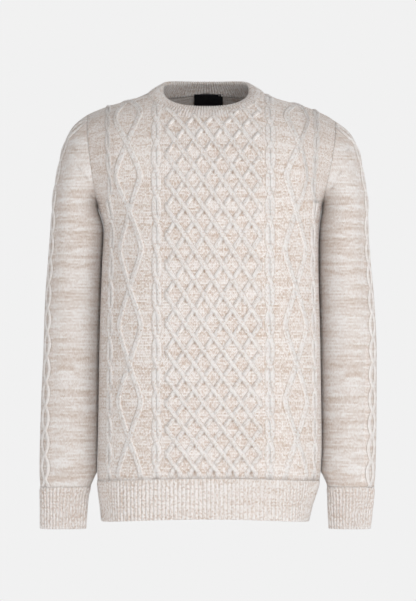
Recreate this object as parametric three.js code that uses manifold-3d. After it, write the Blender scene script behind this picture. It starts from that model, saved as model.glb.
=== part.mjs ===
// Crew neck cable knit sweater, hollow and filled out as when it is worn, with its arms hanging.
// Millimetres. +X is the viewer's right, -Y the front, +Z up.
// The origin lies between the shoulders, at the height where the neck meets them.
// The body is two knitted panels with rib hems, the sleeves are set in and end in rib cuffs,
// and a folded rib band finishes the neck.
import * as THREE from "three";
import Module from "manifold-3d";

const wasm = await Module();
wasm.setup();

// Driving sizes
const wall = 2.6; // thickness of the knitted cloth
const seamGap = 0.3; // between two pieces at a seam
const hemZ = -688;
const ribTopZ = -622; // where the hem rib meets the body panels
const armpitZ = -174;
const shoulderTipZ = -38;
const halfGirth = 240; // wales from the centre line to the side seam, measured flat
const steadyWales = 150; // nearer the centre than this, the wales keep their spacing
const squareness = 2.3; // exponent of the torso's oval
const armholeCut = 0.22; // share of the shoulder oval that the armhole takes off
const armholeMidZ = -108;
const shoulderLean = 6; // the shoulder seam lies this far behind the side seam
const hemLift = 8; // the front's lower edge rises this far at its middle
const liftEndZ = -420;
const cutRise = 60; // the armhole's cut grows over this height above the armpit
const leanFrom = 30; // the shoulders begin to lean this far below the armpit
const leanRise = 150;

// Torso by height: half widths on the left and right, and depths of the front and back.
const TORSO = [
  { z: -688, left: 172, right: 161, front: 99, back: 97 },
  { z: -660, left: 175, right: 168, front: 101, back: 99 },
  { z: -636, left: 178, right: 176, front: 104, back: 102 },
  { z: -612, left: 180, right: 181, front: 109, back: 106 },
  { z: -560, left: 179, right: 183, front: 113, back: 107 },
  { z: -400, left: 176.5, right: 181, front: 120, back: 108 },
  { z: -265, left: 172, right: 178, front: 127, back: 112 },
  { z: -217, left: 169.5, right: 179, front: 129, back: 115 },
  { z: -174, left: 180.5, right: 185, front: 127, back: 117 },
  { z: -120, left: 186, right: 193, front: 122, back: 118 },
  { z: -80, left: 190, right: 198, front: 115, back: 113 },
  { z: -41, left: 195, right: 204, front: 107, back: 105 },
  { z: 44, left: 197, right: 206, front: 95, back: 100 },
];

// Shoulder line by distance from the neck's middle: its height on the front and back, and how
// far below it the cloth has turned upright.
const RIDGE = [
  { x: 0, front: 22, back: 44, round: 125 },
  { x: 55, front: 16, back: 27, round: 121 },
  { x: 92, front: 4.5, back: 4.5, round: 114 },
  { x: 116, front: -4.5, back: -4.5, round: 106 },
  { x: 157, front: -16, back: -16, round: 92 },
  { x: 177, front: -23.5, back: -23.5, round: 84 },
  { x: 197, front: -33, back: -33, round: 73 },
  { x: 210, front: -41.5, back: -41.5, round: 68 },
];

// Cable chart: course height against repeats of the lattice.
const COURSES = [
  { t: -613, repeat: -0.27 },
  { t: -391, repeat: 5 },
  { t: -347, repeat: 6 },
  { t: -208, repeat: 9 },
  { t: -165, repeat: 10 },
  { t: -36, repeat: 13 },
  { t: 89, repeat: 15.9 },
];
const chartCentre = 8; // the chart sits this far to the right of the centre line
const latticeWidth = 30; // one diamond of the lattice
const latticeStrands = 10;
const ropeAt = 90.5;
const ropeSway = 3.4;
const diamondAt = 138;
const diamondRepeat = 121;
const diamondCrossing = -554; // height of the lowest crossing
const diamondReach = 21; // from a diamond's centre to its line, where it is widest
const diamondTouch = 5; // the same at a crossing
const sideRopeAt = 181;
const crestTouch = 1.6; // half the distance between two crests where they cross
const STRAND = { high: 2.3, half: 4.4 }; // of the lattice: height, and half its width
const ROPE = { high: 3, half: 5.5 };
const DIAMOND = { high: 2.6, half: 5.5 };
const footShare = 0.36; // a crest's foot is at most this share of the way to the next crest
const plainShares = [1, 0.72, 0.42]; // columns of the plain cloth beside the chart
const upperStep = 0.5; // repeats of the chart from row to row over the shoulder
const fadeBelow = 9; // the chart's relief rises over this length from the hem rib
const fadeAbove = 12; // and falls over this length to the shoulder

// Sleeve below the armpit, by height: inner and outer line on each side, and front and back.
// Where the inner line would pass into the body, the sleeve lies against it.
const SLEEVE = [
  { z: -700, leftIn: 199, leftOut: 271, rightIn: 195.5, rightOut: 260.5, front: -30, back: 8 },
  { z: -670, leftIn: 197, leftOut: 271, rightIn: 194, rightOut: 264, front: -31, back: 11 },
  { z: -648, leftIn: 195, leftOut: 271.5, rightIn: 193.5, rightOut: 266.5, front: -31, back: 16 },
  { z: -632, leftIn: 190.5, leftOut: 272, rightIn: 192, rightOut: 268, front: -33, back: 23 },
  { z: -616, leftIn: 184, leftOut: 273.5, rightIn: 186, rightOut: 270, front: -33, back: 32 },
  { z: -600, leftIn: 176, leftOut: 274, rightIn: 178, rightOut: 271, front: -31, back: 40 },
  { z: -500, leftIn: 165, leftOut: 272, rightIn: 175, rightOut: 273, front: -30, back: 53 },
  { z: -420, leftIn: 165, leftOut: 268.5, rightIn: 175, rightOut: 273.3, front: -33, back: 61 },
  { z: -330, leftIn: 165, leftOut: 265.5, rightIn: 175, rightOut: 269.3, front: -39, back: 68 },
  { z: -265, leftIn: 165, leftOut: 260.5, rightIn: 175, rightOut: 263, front: -47, back: 71 },
  { z: -217, leftIn: 165, leftOut: 256.5, rightIn: 175, rightOut: 259.5, front: -58, back: 68 },
  { z: -186, leftIn: 165, leftOut: 253.5, rightIn: 175, rightOut: 258.5, front: -66, back: 66 },
];
const bodyGap = 1.2; // from the body to a sleeve beside it

// Sleeve head: its rings fan round the armpit. By a ring's lean from upright, how far its outer
// line lies from the armpit, and its front and back.
const SLEEVE_HEAD = [
  { lean: 7, reach: 142, front: 77, back: 74 },
  { lean: 18, reach: 131, front: 75, back: 73 },
  { lean: 29, reach: 114, front: 73, back: 71 },
  { lean: 45, reach: 91.5, front: 70, back: 69 },
  { lean: 60, reach: 80.5, front: 68, back: 67 },
  { lean: 76, reach: 76, front: 67, back: 66 },
  { lean: 90, reach: 75, front: 66, back: 66 },
];
const headRings = 7;
const armholePull = 1.3; // the fan lets go of the armhole's line by 1 / this share of it
const headTurn = 90; // degrees from upright, where the fan ends
const armpitDrop = 12; // the fan's inner end slides down this far
const sleeveRings = 21; // below the fan
const sleeveEndZ = -632;
const cuffEndZ = -700;
const sleeveColumnsInside = 18;
const sleeveColumnsFront = 8; // plain columns from the inner line to the cable
const sleeveColumnsBack = 11;
const cableLean = 55; // the sleeve cable lies this many degrees round from the sleeve's front
const cableNarrow = 3.4;
const cableWide = 9.4;
const cableEdge = 17;
const CABLE = { high: 2.6, half: 4.5 }; // a strand of the sleeve cable
const valley = 0.8; // half the narrowest valley between its strands

// Ribs
const hemRibs = 73; // on each panel
const cuffRibs = 35;
const neckRibs = 116;
const ribRelief = 0.9;

// Neck: the seam's oval seen from above, and the band's rim above it.
const neckX = -4;
const neckSeam = { wide: 93, front: 87, back: 73, power: 2.6 };
const neckRim = { wide: 71, front: 70, back: 62, power: 2.6 };
const neckHoleTop = 100;
const neckHoleFloor = -160;
const rimSideZ = 14;
const rimFrontZ = -23;
const rimBackZ = 28;
const bandWall = 4.4; // the band is folded double
const bandSwell = 2.4;
const BAND_EDGE = { under: 0.06, outer: 0.92, inner: 0.95 }; // shares of the band's height

// Woven label, blank, on the inside of the back below the neckband.
const labelWide = 48;
const labelLong = 32;
const labelThick = 0.8;
const labelDrop = 4.5; // the label's upper edge lies this far behind the neck seam
const labelShares = [-0.999, -0.5, 0, 0.5, 0.999]; // columns over half the label's width

// How finely closed lines and searches are worked out
const RING_POINTS = 72;
const NECK_POINTS = 1440;
const SEARCH_STEPS = 24;

const clamp = (v, low, high) => Math.min(high, Math.max(low, v));
const mix = (a, b, share) => a + (b - a) * share;
const evenShares = (count) => Array.from({ length: count }, (_, i) => i / count);
const smooth = (v) => {
  const c = clamp(v, 0, 1);
  return c * c * (3 - 2 * c);
};

// The value of one column of a table at a key, on a smooth curve through the rows that never
// overshoots them.
function along(table, key, at, column) {
  const last = table.length - 1;
  if (at <= table[0][key]) return table[0][column];
  if (at >= table[last][key]) return table[last][column];
  let i = 0;
  while (at > table[i + 1][key]) i++;
  const step = (j) => table[j + 1][key] - table[j][key];
  const slope = (j) => (table[j + 1][column] - table[j][column]) / step(j);
  const tangent = (j) => {
    if (j === 0) return slope(0);
    if (j === last) return slope(last - 1);
    const before = slope(j - 1);
    const after = slope(j);
    return before * after <= 0 ? 0 : (2 * before * after) / (before + after);
  };
  const h = step(i);
  const u = (at - table[i][key]) / h;
  const rise = table[i + 1][column] - table[i][column];
  return (
    table[i][column] +
    rise * u * u * (3 - 2 * u) +
    h * u * (1 - u) * (tangent(i) * (1 - u) - tangent(i + 1) * u)
  );
}

// Half width of the torso at its side seam, or above the armpit at the armhole.
function edgeX(side, z) {
  const column = side < 0 ? "left" : "right";
  if (z <= armpitZ) return along(TORSO, "z", z, column);
  const low = along(TORSO, "z", armpitZ, column);
  const high = along(TORSO, "z", shoulderTipZ, column);
  return mix(low, high, (z - armpitZ) / (shoulderTipZ - armpitZ));
}

// Share of the depth that is left at a share across an oval, cut off at a share of its half width.
function ovalShare(across, cut) {
  const rest = (v) => Math.pow(Math.max(0, 1 - Math.pow(v, squareness)), 1 / squareness);
  const end = rest(cut);
  return (rest(cut * across) - end) / (1 - end);
}

// The panels: which way each faces, its column in the tables, how deep its armhole is, the
// length of its cloth from the armpit over the shoulder, and how far its hem's middle rises.
const FRONT = { sign: -1, column: "front", armhole: 78, rise: 252, lift: hemLift };
const BACK = { sign: 1, column: "back", armhole: 75, rise: 262, lift: 0 };

// Depth of a panel before the shoulders round it off.
function uprightDepth(panel, x, z) {
  const side = x < 0 ? -1 : 1;
  const across = Math.min(1, Math.abs(x) / edgeX(side, z));
  const cut = 1 - armholeCut * smooth((z - armpitZ) / cutRise);
  const below = clamp((armholeMidZ - z) / (armholeMidZ - armpitZ), 0, 1);
  const atEdge = z <= armpitZ ? 0 : panel.armhole * Math.sqrt(1 - below * below);
  const centre = along(TORSO, "z", z, panel.column);
  return atEdge + (centre - atEdge) * ovalShare(across, cut);
}

const fromNeck = (x) => Math.abs(x - neckX);
const leanAt = (z) => shoulderLean * smooth((z - armpitZ + leanFrom) / leanRise);
function depthAt(panel, x, z) {
  const top = along(RIDGE, "x", fromNeck(x), panel.column);
  const down = clamp((top - z) / along(RIDGE, "x", fromNeck(x), "round"), 0, 1);
  return uprightDepth(panel, x, z) * Math.sqrt(1 - (1 - down) * (1 - down));
}

// Distance across a panel for a count of wales from its centre line, at one height.
const sectionSteps = 36;
const sections = new Map();
function acrossAt(panel, side, z, wales) {
  const key = panel.column + side + z.toFixed(2);
  if (!sections.has(key)) {
    const edge = edgeX(side, z);
    const points = [];
    let run = 0;
    for (let i = 0; i <= sectionSteps; i++) {
      const x = edge * Math.sin((i / sectionSteps) * (Math.PI / 2));
      const y = uprightDepth(panel, side * x, z);
      if (i) run += Math.hypot(x - points[i - 1].x, y - points[i - 1].y);
      points.push({ x, y, run });
    }
    sections.set(key, points);
  }
  const points = sections.get(key);
  const total = points[points.length - 1].run;
  const outer = (wales - steadyWales) / (halfGirth - steadyWales);
  const length = wales <= steadyWales ? wales : steadyWales + outer * (total - steadyWales);
  let i = 1;
  while (i < points.length - 1 && points[i].run < length) i++;
  const a = points[i - 1];
  const b = points[i];
  return mix(a.x, b.x, clamp((length - a.run) / (b.run - a.run), 0, 1));
}

// Length along a quarter of an ellipse that starts upright, and the angle after a length.
const arcSteps = 32;
function quarterArc(high, deep, until = Infinity) {
  let run = 0;
  const turn = Math.PI / 2 / arcSteps;
  for (let i = 0; i < arcSteps; i++) {
    const angle = (i + 0.5) * turn;
    const piece = turn * Math.hypot(high * Math.cos(angle), deep * Math.sin(angle));
    if (run + piece >= until) return { run, angle: (i + (until - run) / piece) * turn };
    run += piece;
  }
  return { run, angle: Math.PI / 2 };
}

// A point of a panel's cloth, by wales from the centre line and by courses. Above the armpit the
// courses run on over the shoulder.
function clothPoint(panel, wales, course) {
  const side = wales < 0 ? -1 : 1;
  const count = Math.min(Math.abs(wales), halfGirth);
  let z = course;
  let x;
  if (course <= armpitZ) {
    x = acrossAt(panel, side, z, count);
    const share = smooth((liftEndZ - course) / (liftEndZ - hemZ));
    const across = x / edgeX(side, course);
    z += panel.lift * share * (1 - across * across);
  } else {
    const topX = acrossAt(panel, side, shoulderTipZ, count);
    const top = along(RIDGE, "x", fromNeck(side * topX), panel.column);
    const round = along(RIDGE, "x", fromNeck(side * topX), "round");
    const straight = top - round - armpitZ;
    const deep = uprightDepth(panel, side * topX, top - round / 2);
    const share = Math.min(1, (course - armpitZ) / panel.rise);
    const far = share * (straight + quarterArc(round, deep).run);
    z = armpitZ + far;
    if (far > straight) {
      z = top - round + round * Math.sin(quarterArc(round, deep, far - straight).angle);
    }
    if (share >= 1) z = top;
    x = mix(acrossAt(panel, side, z, count), topX, smooth(share));
  }
  const y = panel.sign * (depthAt(panel, side * x, z) + seamGap / 2);
  return new THREE.Vector3(side * x, y + leanAt(z), z);
}

function clothNormal(panel, wales, course) {
  const half = 1.5;
  const low = Math.max(-halfGirth, wales - half);
  const high = Math.min(halfGirth, wales + half);
  const under = Math.min(course - half, armpitZ + panel.rise - 4 * half);
  const over = Math.min(course + half, armpitZ + panel.rise - half);
  const across = clothPoint(panel, high, course).sub(clothPoint(panel, low, course));
  const up = clothPoint(panel, wales, over).sub(clothPoint(panel, wales, under));
  return across.cross(up).multiplyScalar(-panel.sign).normalize();
}

// At the armhole both panels and the sleeve turn their walls towards the armhole's middle.
function armholeInward(point) {
  const middle = new THREE.Vector3(0, shoulderLean / 2, (armpitZ + shoulderTipZ) / 2);
  const inward = middle.sub(point);
  inward.x = 0;
  return inward.normalize();
}

// The solid wall between an outer and an inner grid of points. Rows run along the piece and
// columns round it.
function wallSolid(outer, inner, ring = false) {
  const points = [];
  const triangles = [];
  const index = (grid) =>
    grid.map((row) => {
      const ids = row.map((p) => points.push(p) - 1);
      return ring ? [...ids, ids[0]] : ids;
    });
  const o = index(outer);
  const n = index(inner);
  const skin = (grid, face) => {
    for (let i = 0; i + 1 < grid.length; i++) {
      for (let j = 0; j + 1 < grid[i].length; j++) {
        const [a, b, c, d] = [grid[i][j], grid[i][j + 1], grid[i + 1][j + 1], grid[i + 1][j]];
        const even = points[a].distanceTo(points[c]) <= points[b].distanceTo(points[d]);
        face(...(even ? [a, b, c] : [a, b, d]));
        face(...(even ? [a, c, d] : [b, c, d]));
      }
    }
  };
  skin(o, (a, b, c) => triangles.push(a, b, c));
  skin(n, (a, b, c) => triangles.push(a, c, b));
  const shares = (line) => {
    let run = 0;
    const runs = line.map((p, i) => (run += i ? points[p].distanceTo(points[line[i - 1]]) : 0));
    return runs.map((r) => r / run);
  };
  const zip = (a, b) => {
    const sa = shares(a);
    const sb = shares(b);
    let i = 0;
    let j = 0;
    while (i < a.length - 1 || j < b.length - 1) {
      const ahead = i < a.length - 1 && sa[i] + sa[i + 1] <= sb[j] + sb[j + 1];
      if (j === b.length - 1 || ahead) {
        triangles.push(a[i + 1], a[i], b[j]);
        i++;
      } else {
        triangles.push(a[i], b[j], b[j + 1]);
        j++;
      }
    }
  };
  const column = (grid, j) => grid.map((row) => row[j < 0 ? row.length + j : j]);
  const flip = (line) => [...line].reverse();
  zip(o[0], n[0]);
  zip(flip(o[o.length - 1]), flip(n[n.length - 1]));
  if (!ring) {
    zip(column(o, -1), column(n, -1));
    zip(flip(column(o, 0)), flip(column(n, 0)));
  }
  const build = () =>
    new wasm.Manifold(
      new wasm.Mesh({
        numProp: 3,
        vertProperties: new Float32Array(points.flatMap((p) => [p.x, p.y, p.z])),
        triVerts: new Uint32Array(triangles),
      }),
    );
  let solid = build();
  if (solid.volume() < 0) {
    for (let i = 0; i < triangles.length; i += 3) {
      [triangles[i + 1], triangles[i + 2]] = [triangles[i + 2], triangles[i + 1]];
    }
    solid = build();
  }
  return solid;
}

function geometryOf(solid) {
  const mesh = solid.getMesh();
  const position = new Float32Array(mesh.numVert * 3);
  for (let i = 0; i < mesh.numVert; i++) {
    position.set(mesh.vertProperties.subarray(i * mesh.numProp, i * mesh.numProp + 3), i * 3);
  }
  const geometry = new THREE.BufferGeometry();
  geometry.setAttribute("position", new THREE.BufferAttribute(position, 3));
  geometry.setIndex(new THREE.BufferAttribute(mesh.triVerts, 1));
  geometry.computeVertexNormals();
  return geometry;
}

const yarn = new THREE.MeshStandardMaterial({ color: 0xd3c8c0, roughness: 0.95, metalness: 0 });
const labelCloth = new THREE.MeshStandardMaterial({ color: 0x0b0a0d, roughness: 0.7, metalness: 0 });
const sweater = new THREE.Group();
function add(name, solid, material = yarn) {
  const mesh = new THREE.Mesh(geometryOf(solid), material);
  mesh.name = name;
  sweater.add(mesh);
}

// Zigzag that is 1 on whole numbers and -1 halfway between them.
const zigzag = (v) => 4 * Math.abs(v - Math.floor(v) - 0.5) - 1;

// Crests of the cable chart at one course: their wale, height and half width, from left to right.
function crestsAt(course) {
  const repeat = along(COURSES, "t", course, "repeat");
  const crests = [];
  for (let k = 0; k < latticeStrands; k++) {
    const middle = ((k - (latticeStrands - 1) / 2) * latticeWidth) / 2;
    const swing = (k % 2 ? -1 : 1) * zigzag(repeat) * (latticeWidth / 4 - crestTouch);
    crests.push({ wale: middle + swing, ...STRAND });
  }
  const diamond = (course - diamondCrossing) / diamondRepeat;
  const open = mix(diamondReach, diamondTouch, (zigzag(diamond) + 1) / 2);
  for (const side of [-1, 1]) {
    const sway = ropeSway * zigzag(repeat) * side;
    crests.push({ wale: side * ropeAt + sway, ...ROPE });
    crests.push({ wale: side * sideRopeAt + sway, ...ROPE });
    crests.push({ wale: side * diamondAt - open, ...DIAMOND });
    crests.push({ wale: side * diamondAt + open, ...DIAMOND });
  }
  return crests.map((c) => ({ ...c, wale: c.wale + chartCentre })).sort((a, b) => a.wale - b.wale);
}

// One row of the front: plain wales at the sides, and a foot on each side of every crest.
function chartRow(course) {
  const crests = crestsAt(course);
  const row = [];
  const put = (wale, high) => row.push({ wale, high });
  const left = crests[0].wale - crests[0].half;
  const right = crests[crests.length - 1].wale + crests[crests.length - 1].half;
  for (const share of plainShares) put(mix(left, -halfGirth, share), 0);
  put(left, 0);
  crests.forEach((crest, i) => {
    put(crest.wale, crest.high);
    const next = crests[i + 1];
    if (!next) return;
    const gap = next.wale - crest.wale;
    const after = Math.min(crest.half, footShare * gap);
    const before = Math.min(next.half, footShare * gap);
    put(crest.wale + after, crest.high * (1 - after / crest.half));
    put(next.wale - before, next.high * (1 - before / next.half));
  });
  put(right, 0);
  for (const share of [...plainShares].reverse()) put(mix(right, halfGirth, share), 0);
  return row;
}

// Courses of a panel from its lower edge to the shoulder. A row stands on every half repeat of
// the chart, or on fewer below the armpit.
function panelCourses(panel, lowerStep) {
  const topCourse = armpitZ + panel.rise;
  const highest = along(COURSES, "t", topCourse, "repeat");
  const armpit = along(COURSES, "t", armpitZ, "repeat");
  const courses = [ribTopZ];
  let repeat = 0;
  while (repeat < highest - upperStep / 3) {
    let low = ribTopZ;
    let high = topCourse;
    while (high - low > 0.01) {
      const middle = (low + high) / 2;
      if (along(COURSES, "t", middle, "repeat") < repeat) low = middle;
      else high = middle;
    }
    courses.push((low + high) / 2);
    repeat += repeat < armpit ? lowerStep : upperStep;
  }
  courses.push(topCourse);
  return courses;
}

// The cloth inside a panel's outer points, at even wales. Its side edges keep to the seams.
function innerRow(panel, course, columns) {
  return Array.from({ length: columns + 1 }, (_, j) => {
    const wales = mix(-halfGirth, halfGirth, j / columns);
    const p = clothPoint(panel, wales, course);
    const atArmhole = (j === 0 || j === columns) && course > armpitZ - 1;
    const inward = atArmhole ? armholeInward(p) : clothNormal(panel, wales, course).negate();
    if (Math.abs(wales) === halfGirth && !atArmhole) inward.setY(0).normalize();
    if (course >= armpitZ + panel.rise - 1) inward.setY(0).normalize();
    return p.addScaledVector(inward, wall);
  });
}

// A point of a neck oval seen from above. The angle runs from the front to the viewer's right.
function neckOutline(oval, angle) {
  const round = (v) => Math.sign(v) * Math.pow(Math.abs(v), 2 / oval.power);
  const deep = Math.cos(angle) > 0 ? oval.front : oval.back;
  return new THREE.Vector2(neckX + oval.wide * round(Math.sin(angle)), -deep * round(Math.cos(angle)));
}

// The upright prism that takes the neck hole out of both panels.
function neckCutter() {
  const turns = evenShares(RING_POINTS).map((share) => share * 2 * Math.PI);
  const outline = turns.map((angle) => neckOutline(neckSeam, angle));
  const ends = [neckHoleFloor, neckHoleTop];
  return wasm.Manifold.hull(outline.flatMap((p) => ends.map((z) => [p.x, p.y, z])));
}

const neckHole = neckCutter();
const FRONT_ROWS = panelCourses(FRONT, upperStep);
const BACK_ROWS = panelCourses(BACK, 2 * upperStep);

const frontColumnsInside = 16;
function frontPanel() {
  const top = armpitZ + FRONT.rise;
  const outer = FRONT_ROWS.map((course) =>
    chartRow(course).map(({ wale, high }) => {
      const fade = smooth((course - ribTopZ) / fadeBelow) * smooth((top - course) / fadeAbove);
      const rise = high * fade;
      return clothPoint(FRONT, wale, course).addScaledVector(clothNormal(FRONT, wale, course), rise);
    }),
  );
  const inner = FRONT_ROWS.map((course) => innerRow(FRONT, course, frontColumnsInside));
  return wallSolid(outer, inner).subtract(neckHole);
}

const backColumns = 20;
function backPanel() {
  const outer = BACK_ROWS.map((course) =>
    Array.from({ length: backColumns + 1 }, (_, j) =>
      clothPoint(BACK, mix(-halfGirth, halfGirth, j / backColumns), course),
    ),
  );
  const inner = BACK_ROWS.map((course) => innerRow(BACK, course, backColumns));
  return wallSolid(outer, inner).subtract(neckHole);
}

// The hem rib of one panel. Every other column is a rib's crest.
const hemColumnsInside = 24;
function hemRib(panel) {
  const columns = hemRibs * 2;
  const courses = [hemZ, (hemZ + ribTopZ) / 2, ribTopZ - seamGap];
  const outer = courses.map((course) =>
    Array.from({ length: columns + 1 }, (_, j) => {
      const wales = mix(-halfGirth, halfGirth, j / columns);
      const rise = j % 2 ? ribRelief : 0;
      return clothPoint(panel, wales, course).addScaledVector(clothNormal(panel, wales, course), rise);
    }),
  );
  const inner = courses.map((course) => innerRow(panel, course, hemColumnsInside));
  return wallSolid(outer, inner);
}

// The armhole's edge, from the armpit over the front to the shoulder tip and down the back.
function armholeLoop(side) {
  const edge = (panel, rows) =>
    rows
      .filter((course) => course >= armpitZ - seamGap)
      .map((course) => clothPoint(panel, side * halfGirth, course));
  const back = edge(BACK, BACK_ROWS).reverse();
  return [...edge(FRONT, FRONT_ROWS), ...back.slice(1, -1)];
}

// Points at even or given shares of the way round a closed line, starting at its first point.
function resample(line, shares) {
  const closed = [...line, line[0]];
  let run = 0;
  const runs = closed.map((p, i) => (run += i ? p.distanceTo(closed[i - 1]) : 0));
  return shares.map((share) => {
    const at = (((share % 1) + 1) % 1) * run;
    let i = 1;
    while (i < runs.length - 1 && runs[i] < at) i++;
    return closed[i - 1].clone().lerp(closed[i], (at - runs[i - 1]) / (runs[i] - runs[i - 1]));
  });
}

// An oval ring of a sleeve, from its inner end over the front, outer end and back.
function sleeveOval(inner, outer, front, back) {
  const middle = inner.clone().lerp(outer, 0.5);
  const half = outer.clone().sub(inner).multiplyScalar(0.5);
  const forward = new THREE.Vector3(0, 1, 0);
  return evenShares(RING_POINTS).map((share) => {
    const angle = share * 2 * Math.PI;
    const s = Math.sin(angle);
    const across = half.clone().multiplyScalar(-Math.cos(angle));
    const deep = (front + back) / 2 - (s * (back - front)) / 2;
    return middle.clone().setY(0).add(across).addScaledVector(forward, deep);
  });
}

// Rings of one sleeve from the armhole to the cuff. Each is a closed line of points.
function sleeveRingLines(side) {
  const armpit = new THREE.Vector3(side * edgeX(side, armpitZ), 0, armpitZ);
  const headRing = (lean) => {
    const firstLean = SLEEVE_HEAD[0].lean;
    const slide = (lean - firstLean) / (headTurn - firstLean);
    const inner = armpit.clone();
    inner.z -= armpitDrop * slide;
    const lowX = sleeveInner(side, armpitZ - armpitDrop);
    inner.x = side * mix(edgeX(side, armpitZ), lowX, slide);
    const angle = THREE.MathUtils.degToRad(lean);
    const reach = along(SLEEVE_HEAD, "lean", lean, "reach");
    const outer = inner.clone();
    outer.x += side * reach * Math.sin(angle);
    outer.z += reach * Math.cos(angle);
    const front = -along(SLEEVE_HEAD, "lean", lean, "front");
    const back = along(SLEEVE_HEAD, "lean", lean, "back");
    const settle = (shoulderLean / 2) * (1 - slide);
    return sleeveOval(inner, outer, front + settle, back + settle);
  };
  const loop = resample(armholeLoop(side), evenShares(RING_POINTS));
  const evenRing = (ring) => resample(ring, evenShares(RING_POINTS));
  const first = evenRing(headRing(SLEEVE_HEAD[0].lean));
  const rings = [];
  for (let i = 0; i < headRings; i++) {
    const share = i / headRings;
    const ring = evenRing(headRing(mix(SLEEVE_HEAD[0].lean, headTurn, share)));
    const pull = 1 - smooth(share * armholePull);
    rings.push(ring.map((p, k) => p.add(loop[k].clone().sub(first[k]).multiplyScalar(pull))));
  }
  rings[0].forEach((p) => (p.x += side * seamGap));
  for (let i = 0; i <= sleeveRings; i++) {
    const z = mix(armpitZ - armpitDrop, sleeveEndZ, i / sleeveRings);
    rings.push(evenRing(sleeveBand(side, z)));
  }
  return rings;
}
function sleeveInner(side, z) {
  const line = along(SLEEVE, "z", z, side < 0 ? "leftIn" : "rightIn");
  return Math.max(line, edgeX(side, z) + bodyGap);
}
function sleeveBand(side, z) {
  const name = side < 0 ? "left" : "right";
  const at = (column) => along(SLEEVE, "z", z, column);
  const inner = new THREE.Vector3(side * sleeveInner(side, z), 0, z);
  const outer = new THREE.Vector3(side * at(name + "Out"), 0, z);
  return sleeveOval(inner, outer, at("front"), at("back"));
}

// Moves points of a ring away from its middle, square to its own line.
function pushed(ring, points, distances) {
  const middle = ring.reduce((sum, p) => sum.add(p), new THREE.Vector3()).divideScalar(ring.length);
  return points.map((p, i) => {
    const before = points[(i + points.length - 1) % points.length];
    const after = points[(i + 1) % points.length];
    const tangent = after.clone().sub(before).normalize();
    const away = p.clone().sub(middle);
    away.addScaledVector(tangent, -away.dot(tangent)).normalize();
    return p.clone().addScaledVector(away, distances[i]);
  });
}

// Columns of a sleeve at one row: shares round the ring with the cable's crests and feet among them.
function sleeveColumns(ring, row) {
  const run = ring.reduce((sum, p, i) => sum + p.distanceTo(ring[(i + 1) % ring.length]), 0);
  const centre = 0.25 + (0.25 * cableLean) / 90;
  const open = row % 2 ? cableWide : cableNarrow;
  const foot = Math.max(valley, open - CABLE.half);
  const footHigh = CABLE.high * (1 - (open - foot) / CABLE.half);
  const cable = [
    { offset: -cableEdge, high: 0 },
    { offset: -open - CABLE.half, high: 0 },
    { offset: -open, high: CABLE.high },
    { offset: -foot, high: footHigh },
    { offset: foot, high: footHigh },
    { offset: open, high: CABLE.high },
    { offset: open + CABLE.half, high: 0 },
    { offset: cableEdge, high: 0 },
  ].map(({ offset, high }) => ({ share: centre + offset / run, high }));
  const plain = (from, to, count) =>
    Array.from({ length: count }, (_, i) => ({ share: mix(from, to, i / count), high: 0 }));
  const back = plain(cable[cable.length - 1].share, 1, sleeveColumnsBack).slice(1);
  return [...plain(0, cable[0].share, sleeveColumnsFront), ...cable, ...back];
}

function sleeve(side) {
  const rings = sleeveRingLines(side);
  const outer = rings.map((ring, row) => {
    const columns = sleeveColumns(ring, row);
    const points = resample(ring, columns.map((c) => c.share));
    const fade = row < 1 || row === rings.length - 1 ? 0 : 1;
    return pushed(ring, points, columns.map((c) => c.high * fade));
  });
  const innerShares = evenShares(sleeveColumnsInside);
  const inner = rings.map((ring) => {
    const points = resample(ring, innerShares);
    return pushed(ring, points, points.map(() => -wall));
  });
  const loopInner = inner[0].map((_, k) => {
    const p = resample(rings[0], [innerShares[k]])[0];
    return p.addScaledVector(armholeInward(p), wall);
  });
  const everySecond = inner.slice(1).filter((_, i) => i % 2 || i === rings.length - 2);
  return wallSolid(outer, [loopInner, ...everySecond], true);
}

function cuff(side) {
  const heights = [sleeveEndZ - seamGap, (sleeveEndZ + cuffEndZ) / 2, cuffEndZ];
  const rows = heights.map((z) => sleeveBand(side, z));
  const columns = evenShares(cuffRibs * 2);
  const outer = rows.map((ring) =>
    pushed(ring, resample(ring, columns), columns.map((_, j) => (j % 2 ? ribRelief : 0))),
  );
  const inner = rows.map((ring) => {
    const points = resample(ring, evenShares(sleeveColumnsInside));
    return pushed(ring, points, points.map(() => -wall));
  });
  return wallSolid(outer, inner, true);
}

// Angles at even shares of the way round the neck, midway between its seam and its rim.
const neckTurns = evenShares(NECK_POINTS).map((share) => share * 2 * Math.PI);
const neckLine = neckTurns.map((angle) =>
  neckOutline(neckSeam, angle).lerp(neckOutline(neckRim, angle), 0.5),
);
function neckAngles(shares) {
  let run = 0;
  const runs = [0];
  neckLine.forEach((p, i) => runs.push((run += p.distanceTo(neckLine[(i + 1) % neckLine.length]))));
  return shares.map((share) => {
    let i = 1;
    while (runs[i] < share * run) i++;
    const part = (share * run - runs[i - 1]) / (runs[i] - runs[i - 1]);
    return neckTurns[i - 1] + part * neckTurns[1];
  });
}

// Height of a panel's cloth above a point of the plan, near the neck.
function clothHeight(x, y) {
  const panel = y < shoulderLean ? FRONT : BACK;
  let low = armholeMidZ;
  let high = along(RIDGE, "x", fromNeck(x), panel.column);
  for (let i = 0; i < SEARCH_STEPS; i++) {
    const z = (low + high) / 2;
    if (depthAt(panel, x, z) > Math.abs(y - leanAt(z))) low = z;
    else high = z;
  }
  return (low + high) / 2;
}

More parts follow.
